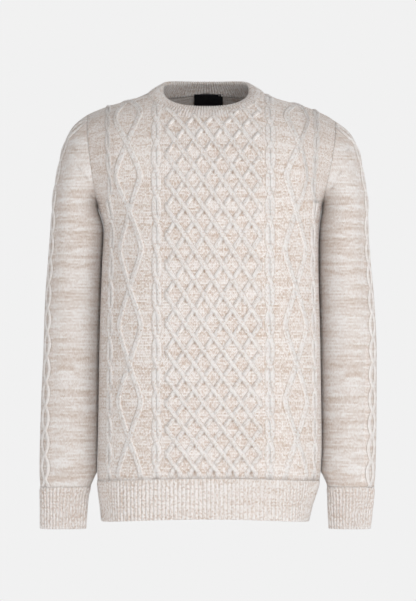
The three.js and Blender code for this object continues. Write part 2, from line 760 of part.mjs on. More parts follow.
// The band at one angle round the neck: its outer and inner points from the seam to the rim.
function bandSection(angle, rise) {
  const under = neckOutline(neckSeam, angle);
  const over = neckOutline(neckRim, angle);
  const inside = new THREE.Vector2(under.x - neckX, under.y);
  inside.setLength(inside.length() - seamGap);
  const seam = new THREE.Vector3(neckX + inside.x, inside.y, clothHeight(under.x, under.y));
  const atFront = over.y < 0;
  const share = Math.abs(over.y) / (atFront ? neckRim.front : neckRim.back);
  const lift = atFront ? share : Math.sin((share * Math.PI) / 2);
  const rim = new THREE.Vector3(over.x, over.y, mix(rimSideZ, atFront ? rimFrontZ : rimBackZ, lift));
  const up = rim.clone().sub(seam).normalize();
  const outward = new THREE.Vector3(over.x - neckX, over.y, 0).normalize();
  outward.addScaledVector(up, -outward.dot(up)).normalize();
  const at = (height, out) => seam.clone().lerp(rim, height).addScaledVector(outward, out);
  return {
    outer: [at(0, 0), at(0.5, bandSwell + rise), at(BAND_EDGE.outer, rise)],
    inner: [at(BAND_EDGE.under, -bandWall), at(0.5, bandSwell - bandWall), at(BAND_EDGE.inner, -bandWall)],
  };
}

function neckband() {
  const outer = neckAngles(evenShares(neckRibs * 2)).map((angle, j) =>
    bandSection(angle, j % 2 ? ribRelief : 0),
  );
  const inner = neckAngles(evenShares(neckRibs / 2)).map((angle) => bandSection(angle, 0));
  const rows = (sections, face) => [0, 1, 2].map((i) => sections.map((section) => section[face][i]));
  return wallSolid(rows(outer, "outer"), rows(inner, "inner"), true);
}

// The label lies on the inside of the back, made from the points of its inner face.
function neckLabel() {
  const cell = (2 * halfGirth) / backColumns;
  const rowOf = (course) => innerRow(BACK, course, backColumns);
  const middle = backColumns / 2;
  const facePoint = (across, course) => {
    let i = 0;
    while (BACK_ROWS[i + 1] < course) i++;
    const share = (course - BACK_ROWS[i]) / (BACK_ROWS[i + 1] - BACK_ROWS[i]);
    const pick = (row) => {
      const j = Math.floor(across / cell) + middle;
      return row[j].clone().lerp(row[j + 1], across / cell - Math.floor(across / cell));
    };
    return pick(rowOf(BACK_ROWS[i])).lerp(pick(rowOf(BACK_ROWS[i + 1])), share);
  };
  const topCourse = labelTopCourse();
  const grid = (lift) =>
    [topCourse - labelLong, topCourse - labelLong / 2, topCourse].map((course) =>
      labelShares.map((share) => {
        const across = (share * labelWide) / 2;
        const inward = clothNormal(BACK, across, course).negate();
        return facePoint(across, course).addScaledVector(inward, lift);
      }),
    );
  return wallSolid(grid(seamGap), grid(seamGap + labelThick));
}
function labelTopCourse() {
  let course = armpitZ + BACK.rise;
  while (clothPoint(BACK, 0, course).y < neckSeam.back + labelDrop) course -= 1;
  return course;
}

add("front_panel", frontPanel());
add("back_panel", backPanel());
add("hem_rib_front", hemRib(FRONT));
add("hem_rib_back", hemRib(BACK));
add("sleeve_left", sleeve(-1));
add("sleeve_right", sleeve(1));
add("cuff_left", cuff(-1));
add("cuff_right", cuff(1));
add("neckband", neckband());
add("neck_label", neckLabel(), labelCloth);

export default sweater;
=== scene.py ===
# Cable knit sweater with a crew neck, filled out and hollow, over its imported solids.
# Shapes are worked out in millimetres and stored in metres.
import math

import bmesh
import bpy
import numpy as np
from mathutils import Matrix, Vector


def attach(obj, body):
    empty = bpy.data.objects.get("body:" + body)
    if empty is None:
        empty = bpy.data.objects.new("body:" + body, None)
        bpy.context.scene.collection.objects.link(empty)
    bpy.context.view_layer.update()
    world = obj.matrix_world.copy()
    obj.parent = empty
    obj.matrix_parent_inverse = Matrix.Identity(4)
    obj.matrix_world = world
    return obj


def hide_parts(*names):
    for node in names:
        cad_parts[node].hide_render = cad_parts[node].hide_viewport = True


bl_info = {
    "name": "Cable knit sweater",
    "version": (1, 0, 0),
    "blender": (4, 5, 0),
    "location": "View3D > Sidebar > Sweater",
    "description": "Knits a filled-out crew neck sweater over its packed solids",
    "category": "Object",
}

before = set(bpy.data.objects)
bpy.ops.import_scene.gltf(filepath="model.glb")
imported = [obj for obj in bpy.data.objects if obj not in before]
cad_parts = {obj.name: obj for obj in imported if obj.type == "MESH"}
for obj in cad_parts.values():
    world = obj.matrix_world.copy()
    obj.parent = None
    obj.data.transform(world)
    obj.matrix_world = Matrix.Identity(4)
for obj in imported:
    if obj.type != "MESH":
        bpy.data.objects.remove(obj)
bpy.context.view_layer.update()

MM = 0.001
IMAGE_WIDTH = 416
IMAGE_HEIGHT = 601

# Cloth edges lie closer together than in the solids, so that no dark line shows at a seam
CLOTH_GAP = 0.05

# The sweater's sizes, as in its solids
WALL = 2.6
SEAM_GAP = 0.3
HEM_Z = -688
RIB_TOP_Z = -622
ARMPIT_Z = -174
SHOULDER_TIP_Z = -38
HALF_GIRTH = 240
STEADY_WALES = 150
SQUARENESS = 2.3
ARMHOLE_CUT = 0.22
ARMHOLE_MID_Z = -108
SHOULDER_LEAN = 6
HEM_LIFT = 8
LIFT_END_Z = -420
BODY_GAP = 0.6

TORSO = (
    {"z": -688, "left": 172, "right": 161, "front": 99, "back": 97},
    {"z": -660, "left": 175, "right": 168, "front": 101, "back": 99},
    {"z": -636, "left": 178, "right": 176, "front": 104, "back": 102},
    {"z": -612, "left": 180, "right": 181, "front": 109, "back": 106},
    {"z": -560, "left": 179, "right": 183, "front": 113, "back": 107},
    {"z": -400, "left": 176.5, "right": 181, "front": 120, "back": 108},
    {"z": -265, "left": 172, "right": 178, "front": 127, "back": 112},
    {"z": -217, "left": 169.5, "right": 179, "front": 129, "back": 115},
    {"z": -174, "left": 180.5, "right": 185, "front": 127, "back": 117},
    {"z": -120, "left": 186, "right": 193, "front": 122, "back": 118},
    {"z": -80, "left": 190, "right": 198, "front": 115, "back": 113},
    {"z": -41, "left": 195, "right": 204, "front": 107, "back": 105},
    {"z": 44, "left": 197, "right": 206, "front": 95, "back": 100},
)

RIDGE = (
    {"x": 0, "front": 22, "back": 44, "round": 125},
    {"x": 55, "front": 16, "back": 27, "round": 121},
    {"x": 88, "front": 5.9, "back": 5.9, "round": 115},
    {"x": 92, "front": 4.5, "back": 4.5, "round": 114},
    {"x": 116, "front": -4.5, "back": -4.5, "round": 106},
    {"x": 157, "front": -16, "back": -16, "round": 92},
    {"x": 177, "front": -23.5, "back": -23.5, "round": 84},
    {"x": 197, "front": -33, "back": -33, "round": 73},
    {"x": 210, "front": -41.5, "back": -41.5, "round": 68},
)

# Which way each panel faces, its column in the tables, its armhole's depth, the length of its
# cloth from the armpit over the shoulder, and how far its hem's middle rises
FRONT = {"sign": -1, "column": "front", "armhole": 78, "rise": 252, "lift": HEM_LIFT}
BACK = {"sign": 1, "column": "back", "armhole": 75, "rise": 262, "lift": 0}

# Cable chart: course against repeats of the lattice
COURSES = (
    {"t": -613, "repeat": -0.27},
    {"t": -391, "repeat": 5},
    {"t": -347, "repeat": 6},
    {"t": -208, "repeat": 9},
    {"t": -165, "repeat": 10},
    {"t": -36, "repeat": 13},
    {"t": 89, "repeat": 15.9},
)
CHART_CENTRE = 8
LATTICE_WIDTH = 30
LATTICE_HALF = 75
LATTICE_STRAND = 5.0
LATTICE_EDGE = {"past": 3.2, "fade": 3.0}
LATTICE_DIP = {"reach": 1.7, "share": 0.85}
# Dot below each lattice crossing: a small dip, with painted shade in it where the crossing shades the
# diamond's top corner
DOT_AT = 6.3
DOT_WIDE = 2.7
DOT_DEPTH = 1.4
DOT_EDGE = {"inside": 4, "fade": 6}
ROPE_AT = 90.5
ROPE_SWAY = 4.0
ROPE_HOLD = 1.35
ROPE_STRAND = 4.6
ROPE_DIP = 0.38
DIAMOND_AT = 138
DIAMOND_REPEAT = 121
DIAMOND_CROSSING = -554
DIAMOND_REACH = 21
DIAMOND_STRAND = 5.4
DIAMOND_DIP = {"reach": 1.2, "share": 0.55}
DIAMOND_VALLEY = 0.2
SIDE_ROPE_AT = 181
SIDE_ROPE_SWAY = 4.8
CHART_HALF = 193

# How far above the hem rib and below the shoulder the cables fade out, and the least cover by a
# strand that counts as one
CABLE_FADE = {"hem": 7, "shoulder": 22}
COVERED = 0.05

SLEEVE = (
    {"z": -700, "left_in": 199, "left_out": 271, "right_in": 195.5, "right_out": 260.5,
     "front": -30, "back": 8},
    {"z": -670, "left_in": 197, "left_out": 271, "right_in": 194, "right_out": 264,
     "front": -31, "back": 11},
    {"z": -648, "left_in": 195, "left_out": 271.5, "right_in": 193.5, "right_out": 266.5,
     "front": -31, "back": 16},
    {"z": -632, "left_in": 190.5, "left_out": 272, "right_in": 192, "right_out": 268,
     "front": -33, "back": 23},
    {"z": -616, "left_in": 184, "left_out": 273.5, "right_in": 186, "right_out": 270,
     "front": -33, "back": 32},
    {"z": -600, "left_in": 176, "left_out": 274, "right_in": 178, "right_out": 271,
     "front": -31, "back": 40},
    {"z": -500, "left_in": 165, "left_out": 272, "right_in": 175, "right_out": 273,
     "front": -30, "back": 53},
    {"z": -420, "left_in": 165, "left_out": 268.5, "right_in": 175, "right_out": 273.3,
     "front": -33, "back": 61},
    {"z": -330, "left_in": 165, "left_out": 265.5, "right_in": 175, "right_out": 269.3,
     "front": -39, "back": 68},
    {"z": -265, "left_in": 165, "left_out": 260.5, "right_in": 175, "right_out": 263,
     "front": -47, "back": 71},
    {"z": -217, "left_in": 165, "left_out": 256.5, "right_in": 175, "right_out": 259.5,
     "front": -58, "back": 68},
    {"z": -186, "left_in": 165, "left_out": 253.5, "right_in": 175, "right_out": 258.5,
     "front": -66, "back": 66},
)

SLEEVE_HEAD = (
    {"lean": 7, "reach": 142, "front": 77, "back": 74},
    {"lean": 18, "reach": 131, "front": 75, "back": 73},
    {"lean": 29, "reach": 114, "front": 73, "back": 71},
    {"lean": 45, "reach": 91.5, "front": 70, "back": 69},
    {"lean": 60, "reach": 80.5, "front": 68, "back": 67},
    {"lean": 76, "reach": 76, "front": 67, "back": 66},
    {"lean": 90, "reach": 75, "front": 66, "back": 66},
)
FASHION_MARKS = (
    {"side": -1, "x": 213, "z": -91},
    {"side": -1, "x": 205, "z": -123},
    {"side": -1, "x": 195, "z": -136},
    {"side": -1, "x": 187, "z": -165},
    {"side": 1, "x": 223, "z": -91},
    {"side": 1, "x": 210, "z": -130},
    {"side": 1, "x": 198, "z": -152},
)
MARK_LONG = 5.0
MARK_WIDE = 1.7
MARK_DEPTH = 0.5
HEAD_TURN = 90
ARMPIT_DROP = 12
SLEEVE_END_Z = -632
CUFF_END_Z = -700
CABLE_LEAN = 55
SLEEVE_CABLE_REPEAT = 39.7
SLEEVE_CABLE_SHARE = 0.05
SLEEVE_CABLE_SWING = 7.2
SLEEVE_STRAND = 4.0
SLEEVE_GROUND = {"half": 14, "fade": 1.5}
SLEEVE_FADE = 9
ARMHOLE_PULL = 1.3

# Ribs round each piece, how they rise below a seam, and how their free edge curls in
HEM_RIBS = 73
CUFF_RIBS = 35
NECK_RIBS = 116
RIB_START = {"share": 0.25, "reach": 7}
EDGE_RADIUS = 2.2
EDGE_CURL = 0.45
EDGE_STEPS = (0, 0.5, 1.1, 1.9)
EDGE_END = 4

NECK_X = -4
NECK_SEAM = {"wide": 93, "front": 87, "back": 73, "power": 2.6}
NECK_RIM = {"wide": 71, "front": 70, "back": 62, "power": 2.6}
NECK_HOLE_TOP = 100
NECK_HOLE_FLOOR = -160
RIM_SIDE_Z = 14
RIM_FRONT_Z = -23
RIM_BACK_Z = 28
BAND_WALL = 4.4
BAND_SWELL = 2.4
BAND_INSIDE = {"foot": 0.06, "swell": 0.7}

LABEL_WIDE = 48
LABEL_LONG = 32
LABEL_THICK = 0.8
LABEL_SLACK = 0.5
LABEL_BEHIND = 4.5
LABEL_TOP_Z = 8.5
LABEL_LEAN = 16

# How finely the pieces are knitted
STEPS_PER_DIAMOND = 18
RIB_STEPS = 6
SECTION_STEPS = 36
ARC_STEPS = 32
LEVELS = 60
RING_POINTS = 144
NECK_CUT_POINTS = 192
CHART_SIDE_STEPS = 8
CHART_END_ROOM = 0.4
CHART_READINGS = 1500
NECK_READINGS = 4001
ARMHOLE_READINGS = 70
FRONT_INSIDE = {"wales": 61, "courses": 73}
BACK_GRID = {"wales": 121, "courses": 161, "inside": 61}
HEM_GRID = {"courses": 25, "wales": 147}
CUFF_GRID = {"courses": 26, "columns": 71, "wales": 70}
RIB_INSIDE = 8
SLEEVE_ROWS = {"head": 64, "arm": 156, "inside": 56}
SLEEVE_COLUMNS = {"before": 32, "cable": 23, "after": 50, "inside": 41}
SLEEVE_INSIDE = {"wales": 120, "courses": 5.6}
LABEL_GRID = {"wales": 33, "courses": 23}

ARMHOLE_MIDDLE = np.array([0, SHOULDER_LEAN / 2, (ARMPIT_Z + SHOULDER_TIP_Z) / 2])

# Yarn on each kind of cloth: how strongly its runs and its specks of the darker ply show
YARNS = (
    {"name": "Marled cable knit", "streaks": 0.75, "specks": 1.1},
    {"name": "Marled plain knit", "streaks": 0.85, "specks": 0.5},
    {"name": "Marled rib", "streaks": 0.5, "specks": 1.2},
)

# Runs of the darker ply: how fast they change along wales and courses, and their weight
MARL_RUNS = (
    {"wale": 0.022, "course": 0.21, "layer": 12, "detail": 1, "low": 0.40, "high": 0.60,
     "weight": 0.34},
    {"wale": 0.07, "course": 0.83, "layer": 0, "detail": 2, "low": 0.38, "high": 0.60,
     "weight": 0.38},
    {"wale": 0.25, "course": 0.77, "layer": 4, "detail": 2, "low": 0.42, "high": 0.62,
     "weight": 0.20},
)

# Stage, in metres and watts, and the picture element that shows the sweater's origin
ORIGIN_PIXEL = {"across": 208.5, "down": 96}
FLOOR_HALF = 2.2
FLOOR_Z = -1.46
MIDDLE = (0, 0, -0.36)
LIGHTS = (
    {"name": "Front light", "place": (0, -2.4, -1.0), "target": MIDDLE, "size": 1.6, "power": 25},
    {"name": "Right light", "place": (1.8, -2.6, -0.7), "target": MIDDLE, "size": 1.2, "power": 14},
    {"name": "Side light", "place": (3.0, -1.0, 0), "target": MIDDLE, "size": 1.2, "power": 10},
    {"name": "Upper light", "place": (2.2, -2.4, 1.3), "target": MIDDLE, "size": 1.0, "power": 27},
    {"name": "Left light", "place": (-2.2, -2.2, -1.3), "target": (-0.1, 0, -0.5), "size": 1.4,
     "power": 18},
    {"name": "Back light", "place": (0.2, 2.2, 0.9), "target": MIDDLE, "size": 1.6, "power": 22},
)


def mix(a, b, share):
    return a + (b - a) * share


def smooth(share):
    share = np.clip(share, 0, 1)
    return share * share * (3 - 2 * share)


def along(table, key, at, column):
    """Reads one column of a table on a smooth curve that never overshoots its rows."""
    keys = np.array([row[key] for row in table], float)
    values = np.array([row[column] for row in table], float)
    slopes = np.diff(values) / np.diff(keys)
    before, after = slopes[:-1], slopes[1:]
    level = before * after <= 0
    inner = np.where(level, 0, 2 * before * after / np.where(level, 1, before + after))
    tangents = np.concatenate([slopes[:1], inner, slopes[-1:]])
    at = np.clip(at, keys[0], keys[-1])
    i = np.clip(np.searchsorted(keys, at, side="right") - 1, 0, len(keys) - 2)
    step = keys[i + 1] - keys[i]
    u = (at - keys[i]) / step
    rise = values[i + 1] - values[i]
    bend = tangents[i] * (1 - u) - tangents[i + 1] * u
    return values[i] + rise * u * u * (3 - 2 * u) + step * u * (1 - u) * bend


def read_at(runs, values, at):
    """Reads, point by point, a value where a running length reaches a distance."""
    i = np.clip((runs < at[..., None]).sum(-1), 1, runs.shape[-1] - 1)[..., None]
    values = np.broadcast_to(values, runs.shape)
    low, high = (np.take_along_axis(runs, k, -1)[..., 0] for k in (i - 1, i))
    start, end = (np.take_along_axis(values, k, -1)[..., 0] for k in (i - 1, i))
    return mix(start, end, np.clip((at - low) / (high - low), 0, 1))


def running(pieces):
    """Adds up lengths, starting from none."""
    return np.concatenate([np.zeros_like(pieces[..., :1]), np.cumsum(pieces, -1)], -1)


def edge_x(side, z):
    """Half width at the side seam, or above the armpit at the armhole."""
    def wide(height):
        left = along(TORSO, "z", height, "left")
        return np.where(side < 0, left, along(TORSO, "z", height, "right"))
    share = (z - ARMPIT_Z) / (SHOULDER_TIP_Z - ARMPIT_Z)
    above = mix(wide(np.full_like(z, ARMPIT_Z)), wide(np.full_like(z, SHOULDER_TIP_Z)), share)
    return np.where(z <= ARMPIT_Z, wide(z), above)


def oval_share(across, cut):
    """Share of a section's depth that is left, on an oval cut off before its end."""
    def rest(share):
        return np.maximum(0, 1 - share ** SQUARENESS) ** (1 / SQUARENESS)
    end = rest(cut)
    return (rest(cut * across) - end) / (1 - end)


def upright_depth(panel, x, z):
    """Depth of a panel before the shoulders round it off."""
    across = np.minimum(1, np.abs(x) / edge_x(np.sign(x), z))
    cut = 1 - ARMHOLE_CUT * smooth((z - ARMPIT_Z) / 60)
    below = np.clip((ARMHOLE_MID_Z - z) / (ARMHOLE_MID_Z - ARMPIT_Z), 0, 1)
    at_edge = np.where(z <= ARMPIT_Z, 0, panel["armhole"] * np.sqrt(1 - below * below))
    centre = along(TORSO, "z", z, panel["column"])
    return mix(at_edge, centre, oval_share(across, cut))


def ridge(x, column):
    """Reads the shoulder line by the distance from the neck's middle."""
    return along(RIDGE, "x", np.abs(x - NECK_X), column)


def depth_at(panel, x, z):
    down = np.clip((ridge(x, panel["column"]) - z) / ridge(x, "round"), 0, 1)
    return upright_depth(panel, x, z) * np.sqrt(1 - (1 - down) ** 2)


def across_at(panel, side, z, wales):
    """Distance from the centre line for a count of wales, at one height."""
    turns = np.sin(np.linspace(0, math.pi / 2, SECTION_STEPS + 1))
    x = edge_x(side, z)[..., None] * turns
    y = upright_depth(panel, side[..., None] * x, z[..., None] + 0 * x)
    runs = running(np.hypot(np.diff(x), np.diff(y)))
    outer = (wales - STEADY_WALES) / (HALF_GIRTH - STEADY_WALES)
    length = np.where(wales <= STEADY_WALES, wales, mix(STEADY_WALES, runs[..., -1], outer))
    return read_at(runs, x, length)


def quarter_arc(high, deep, share, straight):
    """Length of a straight and a quarter ellipse, and the ellipse's angle at a share of them."""
    turn = math.pi / 2 / ARC_STEPS
    angles = (np.arange(ARC_STEPS) + 0.5) * turn
    pieces = turn * np.hypot(high[..., None] * np.cos(angles), deep[..., None] * np.sin(angles))
    runs = running(pieces)
    far = share * (straight + runs[..., -1])
    return far, read_at(runs, np.arange(ARC_STEPS + 1) * turn, np.maximum(far - straight, 0))


def cloth_points(panel, wales, course):
    """Points of a panel by wales from its centre line and courses that run over the shoulder."""
    wales, course = np.broadcast_arrays(np.asarray(wales, float), np.asarray(course, float))
    side = np.where(wales < 0, -1.0, 1.0)
    count = np.minimum(np.abs(wales), HALF_GIRTH)
    top_x = across_at(panel, side, np.full_like(course, SHOULDER_TIP_Z), count)
    top = ridge(side * top_x, panel["column"])
    high = ridge(side * top_x, "round")
    straight = top - high - ARMPIT_Z
    deep = upright_depth(panel, side * top_x, top - high / 2)
    share = np.clip((course - ARMPIT_Z) / panel["rise"], 0, 1)
    far, angle = quarter_arc(high, deep, share, straight)
    over = np.where(far > straight, top - high + high * np.sin(angle), ARMPIT_Z + far)
    z = np.where(course <= ARMPIT_Z, course, np.where(share >= 1, top, over))
    x = side * mix(across_at(panel, side, z, count), top_x, smooth(share))
    across = x / edge_x(side, np.minimum(course, ARMPIT_Z))
    lift = smooth((LIFT_END_Z - course) / (LIFT_END_Z - HEM_Z)) * (1 - across ** 2)
    z = z + panel["lift"] * lift
    y = panel["sign"] * (depth_at(panel, x, z) + CLOTH_GAP / 2)
    y = y + SHOULDER_LEAN * smooth((z - ARMPIT_Z + 30) / 150)
    return np.stack([x, y, z], -1)


def normals_of(points, closed=False):
    """Outward directions of a grid of points whose columns run to its right."""
    if closed:
        wrapped = np.concatenate([points[:, -2:-1], points, points[:, 1:2]], axis=1)
        across = (wrapped[:, 2:] - wrapped[:, :-2])
    else:
        across = np.gradient(points, axis=1)
    normals = np.cross(across, np.gradient(points, axis=0))
    return normals / np.maximum(np.linalg.norm(normals, axis=-1, keepdims=True), 1e-9)


def round_strand(distance):
    """Height over a strand, 1 at its middle and 0 at its edge."""
    return np.clip(1 - distance * distance, 0, 1) ** 0.85


def rounded_zigzag(phase):
    """A zigzag between -1 and 1 that is 0 on whole numbers, with rounded turns."""
    return np.arcsin(0.97 * np.sin(np.pi * phase)) / math.asin(0.97)


def strand_run(line, course):
    """Slope of a strand's middle line and the length along it, at each course."""
    slope = np.gradient(line, axis=0) / np.gradient(course, axis=0)
    middle = np.hypot(1, slope)
    pieces = (middle[1:] + middle[:-1]) / 2 * np.diff(course, axis=0)
    return {"line": line, "slope": slope, "run": running(pieces.T).T}


def chart_strands(repeat, course, sizes):
    """Every strand beside the lattice, by its line, half width and height at each course."""
    strands = []
    phase = (course - DIAMOND_CROSSING) / DIAMOND_REPEAT
    swing = DIAMOND_REACH * rounded_zigzag(phase)
    near = np.exp(-((swing / (DIAMOND_DIP["reach"] * DIAMOND_STRAND)) ** 2))
    sway = np.clip(ROPE_HOLD * np.cos(np.pi * (repeat + 0.5)), -1, 1)
    level = np.sin(np.pi * (repeat + 0.5))
    for side in (-1, 1):
        for sign in (-1, 1):
            for at, reach in ((ROPE_AT, ROPE_SWAY), (SIDE_ROPE_AT, SIDE_ROPE_SWAY)):
                strands.append({
                    **strand_run(side * at + sign * reach * sway, course),
                    "half": ROPE_STRAND,
                    "high": sizes["rope"] * (1 - ROPE_DIP + ROPE_DIP * sign * level),
                    "double": False,
                })
            under = sign * np.cos(np.pi * phase) > 0
            strands.append({
                **strand_run(side * DIAMOND_AT + sign * swing, course),
                "half": DIAMOND_STRAND,
                "high": sizes["diamond"] * (1 - DIAMOND_DIP["share"] * near * under),
                "double": True,
            })
    return strands


def lattice_relief(wale, repeat, course, high):
    """Height, cover and shade over the lattice, and the run of each place's nearer strand."""
    falling = wale / LATTICE_WIDTH + repeat
    rising = wale / LATTICE_WIDTH - repeat
    over = (falling - np.round(falling)) * LATTICE_WIDTH
    under = (rising - np.round(rising)) * LATTICE_WIDTH
    top = round_strand(over / LATTICE_STRAND)
    crossed = smooth(LATTICE_DIP["reach"] - np.abs(over) / LATTICE_STRAND)
    low = round_strand(under / LATTICE_STRAND) * (1 - LATTICE_DIP["share"] * crossed)
    inside = smooth((LATTICE_HALF + LATTICE_EDGE["past"] - np.abs(wale)) / LATTICE_EDGE["fade"])
    # Painted shade in the dip below each crossing, kept inside the lattice
    corner = np.exp(-(((over + DOT_AT) / DOT_WIDE) ** 2) - ((under - DOT_AT) / DOT_WIDE) ** 2)
    shade = corner * smooth((LATTICE_HALF - DOT_EDGE["inside"] - np.abs(wale)) / DOT_EDGE["fade"])
    strand = strand_run(-LATTICE_WIDTH * repeat, course)
    return {
        "height": high * np.maximum(top, low) * inside - DOT_DEPTH * shade,
        "cover": np.maximum(top, low) * inside,
        "shade": shade,
        "offset": np.where(top >= low, over, under),
        "slope": np.where(top >= low, strand["slope"], -strand["slope"]),
        "run": strand["run"] + 0 * wale,
    }


def cable_relief(wales, course, sizes):
    """Relief of the cable chart: height, cover by knit strands, shade, and the strand's run."""
    wale = wales - CHART_CENTRE
    repeat = along(COURSES, "t", course, "repeat")
    made = lattice_relief(wale, repeat, course, sizes["strand"])
    for strand in chart_strands(repeat, course, sizes):
        offset = wale - strand["line"]
        distance = offset / strand["half"]
        shape = round_strand(distance)
        if strand["double"]:
            ridge = np.maximum(round_strand(2 * distance - 1), round_strand(2 * distance + 1))
            shape = np.sqrt(shape) * mix(DIAMOND_VALLEY, 1, ridge)
        lift = strand["high"] * shape
        on_top = (lift > made["height"]) & (shape > 0)
        for key, value in (("offset", offset), ("slope", strand["slope"]), ("run", strand["run"])):
            made[key] = np.where(on_top, value, made[key])
        made["cover"] = np.maximum(made["cover"], shape)
        made["height"] = np.maximum(made["height"], lift)
    return made


def chart_columns():
    """Wales of the front's columns: even over the chart and wider at the sides."""
    step = LATTICE_WIDTH / STEPS_PER_DIAMOND
    count = int(CHART_HALF / step)
    inner = np.arange(-count, count + 1) * step + CHART_CENTRE
    left = np.linspace(-HALF_GIRTH, inner[0], CHART_SIDE_STEPS + 1)[:-1]
    right = np.linspace(inner[-1], HALF_GIRTH, CHART_SIDE_STEPS + 1)[1:]
    return np.concatenate([left, inner, right])


def chart_courses(top_course):
    """Courses of the front's rows: even steps of the chart's repeat."""
    fine = np.linspace(RIB_TOP_Z, top_course, CHART_READINGS)
    repeats = along(COURSES, "t", fine, "repeat")
    first = math.ceil(repeats[0] * STEPS_PER_DIAMOND + CHART_END_ROOM)
    last = math.floor(repeats[-1] * STEPS_PER_DIAMOND - CHART_END_ROOM)
    even = np.interp(np.arange(first, last + 1) / STEPS_PER_DIAMOND, repeats, fine)
    return np.concatenate([[RIB_TOP_Z], even, [top_course]])


def thinned(values, count):
    """Picks values spread evenly over a list, with both of its ends."""
    return values[np.round(np.linspace(0, len(values) - 1, count)).astype(int)]


def grid_mesh(name, points, stitches, knit, shade=0, cover=0):
    """A grid of faces through rows of points, with its stitch map and values of its cloth."""
    rows, columns = points.shape[:2]
    bm = bmesh.new()
    bmesh.ops.create_grid(bm, x_segments=columns - 1, y_segments=rows - 1, size=0.5)
    mesh = bpy.data.meshes.new(name)
    bm.to_mesh(mesh)
    bm.free()
    flat = np.empty(len(mesh.vertices) * 3)
    mesh.vertices.foreach_get("co", flat)
    place = flat.reshape(-1, 3)
    column = np.round((place[:, 0] + 0.5) * (columns - 1)).astype(int)
    row = np.round((place[:, 1] + 0.5) * (rows - 1)).astype(int)
    mesh.vertices.foreach_set("co", (points[row, column] * MM).ravel())
    corner = np.empty(len(mesh.loops), int)
    mesh.loops.foreach_get("vertex_index", corner)
    layer = mesh.uv_layers.new(name="stitches")
    if stitches.ndim == 3:
        places = stitches[row[corner], column[corner]]
    else:
        face_row = np.repeat(row[corner].reshape(-1, 4).min(1), 4)
        face_column = np.repeat(column[corner].reshape(-1, 4).min(1), 4)
        up = row[corner] - face_row
        across = column[corner] - face_column
        places = stitches[face_row, face_column, up, across]
    layer.data.foreach_set("uv", places.ravel())
    for label, grid in (("knit", knit), ("shade", shade), ("cover", cover)):
        attribute = mesh.attributes.new(label, "FLOAT", "POINT")
        attribute.data.foreach_set("value", np.broadcast_to(grid, (rows, columns))[row, column])
    end = mesh.attributes.new("end", "INT", "POINT")
    ends = np.where(row == 0, 1, np.where(row == rows - 1, 2, 0))
    end.data.foreach_set("value", ends)
    turn = mesh.attributes.new("column", "INT", "POINT")
    turn.data.foreach_set("value", column % (columns - 1))
    return mesh


def weld_seam(bm, verts):
    bmesh.ops.remove_doubles(bm, verts=verts, dist=0.01 * MM)


def end_ring(bm, verts, mark):
    """One end's ring of a tube, in the order of its columns."""
    end = bm.verts.layers.int["end"]
    turn = bm.verts.layers.int["column"]
    return sorted((vert for vert in verts if vert[end] == mark), key=lambda vert: vert[turn])


def join_rings(bm, first, second):
    """Faces between two rings that start at the same place. They keep the rings' stitch maps."""
    uv = bm.loops.layers.uv["stitches"]
    known = {vert: vert.link_loops[0][uv].uv.copy() for vert in first + second}
    rings = [ring + ring[:1] for ring in (first, second)]
    shares = []
    for ring in rings:
        runs = running(np.linalg.norm(np.diff([vert.co[:] for vert in ring], axis=0), axis=1))
        shares.append(runs / runs[-1])
    faces = []
    at = [0, 0]
    last = [len(ring) - 1 for ring in rings]
    while at != last:
        left = [k for k in (0, 1) if at[k] < last[k]]
        k = min(left, key=lambda ring: shares[ring][at[ring]] + shares[ring][at[ring] + 1])
        corners = [rings[k][at[k]], rings[k][at[k] + 1], rings[1 - k][at[1 - k]]]
        at[k] += 1
        faces.append(bm.faces.new(corners))
        for loop in faces[-1].loops:
            loop[uv].uv = known[loop.vert]
    return faces


def walled(name, outer, inner=None, tube=False):
    """One closed piece of cloth from its outer and inner grids, joined round their edges."""
    bm = bmesh.new()
    bm.from_mesh(outer)
    if tube:
        weld_seam(bm, bm.verts[:])
    rim = []
    if inner is not None:
        first = set(bm.verts)
        bm.from_mesh(inner)
        if tube:
            weld_seam(bm, [vert for vert in bm.verts if vert not in first])
            second = [vert for vert in bm.verts if vert not in first]
            for mark in (1, 2):
                rim += join_rings(bm, end_ring(bm, first, mark), end_ring(bm, second, mark))
        else:
            edges = [edge for edge in bm.edges if edge.is_boundary]
            rim = bmesh.ops.bridge_loops(bm, edges=edges)["faces"]
    for face in bm.faces:
        face.smooth = True
    for face in rim:
        face.smooth = False
    bmesh.ops.recalc_face_normals(bm, faces=bm.faces[:])
    bmesh.ops.triangulate(bm, faces=bm.faces[:], quad_method="SHORT_EDGE")
    mesh = bpy.data.meshes.new(name)
    bm.to_mesh(mesh)
    bm.free()
    for used in (outer, inner):
        if used is not None:
            bpy.data.meshes.remove(used)
    piece = bpy.data.objects.new(name, mesh)
    bpy.context.scene.collection.objects.link(piece)
    return piece


def neck_outline(oval, angle):
    """A neck oval seen from above. The angle runs from the front to the viewer's right."""
    def rounded(value):
        return np.sign(value) * np.abs(value) ** (2 / oval["power"])
    deep = np.where(np.cos(angle) > 0, oval["front"], oval["back"])
    return NECK_X + oval["wide"] * rounded(np.sin(angle)), -deep * rounded(np.cos(angle))


def neck_angles(shares):
    """Angles at even shares of the way round the neck, starting at the front."""
    fine = np.linspace(0, 2 * math.pi, NECK_READINGS)
    ovals = [np.stack(neck_outline(oval, fine)) for oval in (NECK_SEAM, NECK_RIM)]
    steps = np.diff((ovals[0] + ovals[1]) / 2, axis=1)
    runs = running(np.hypot(steps[0], steps[1]))
    return np.interp(shares * runs[-1], runs, fine)


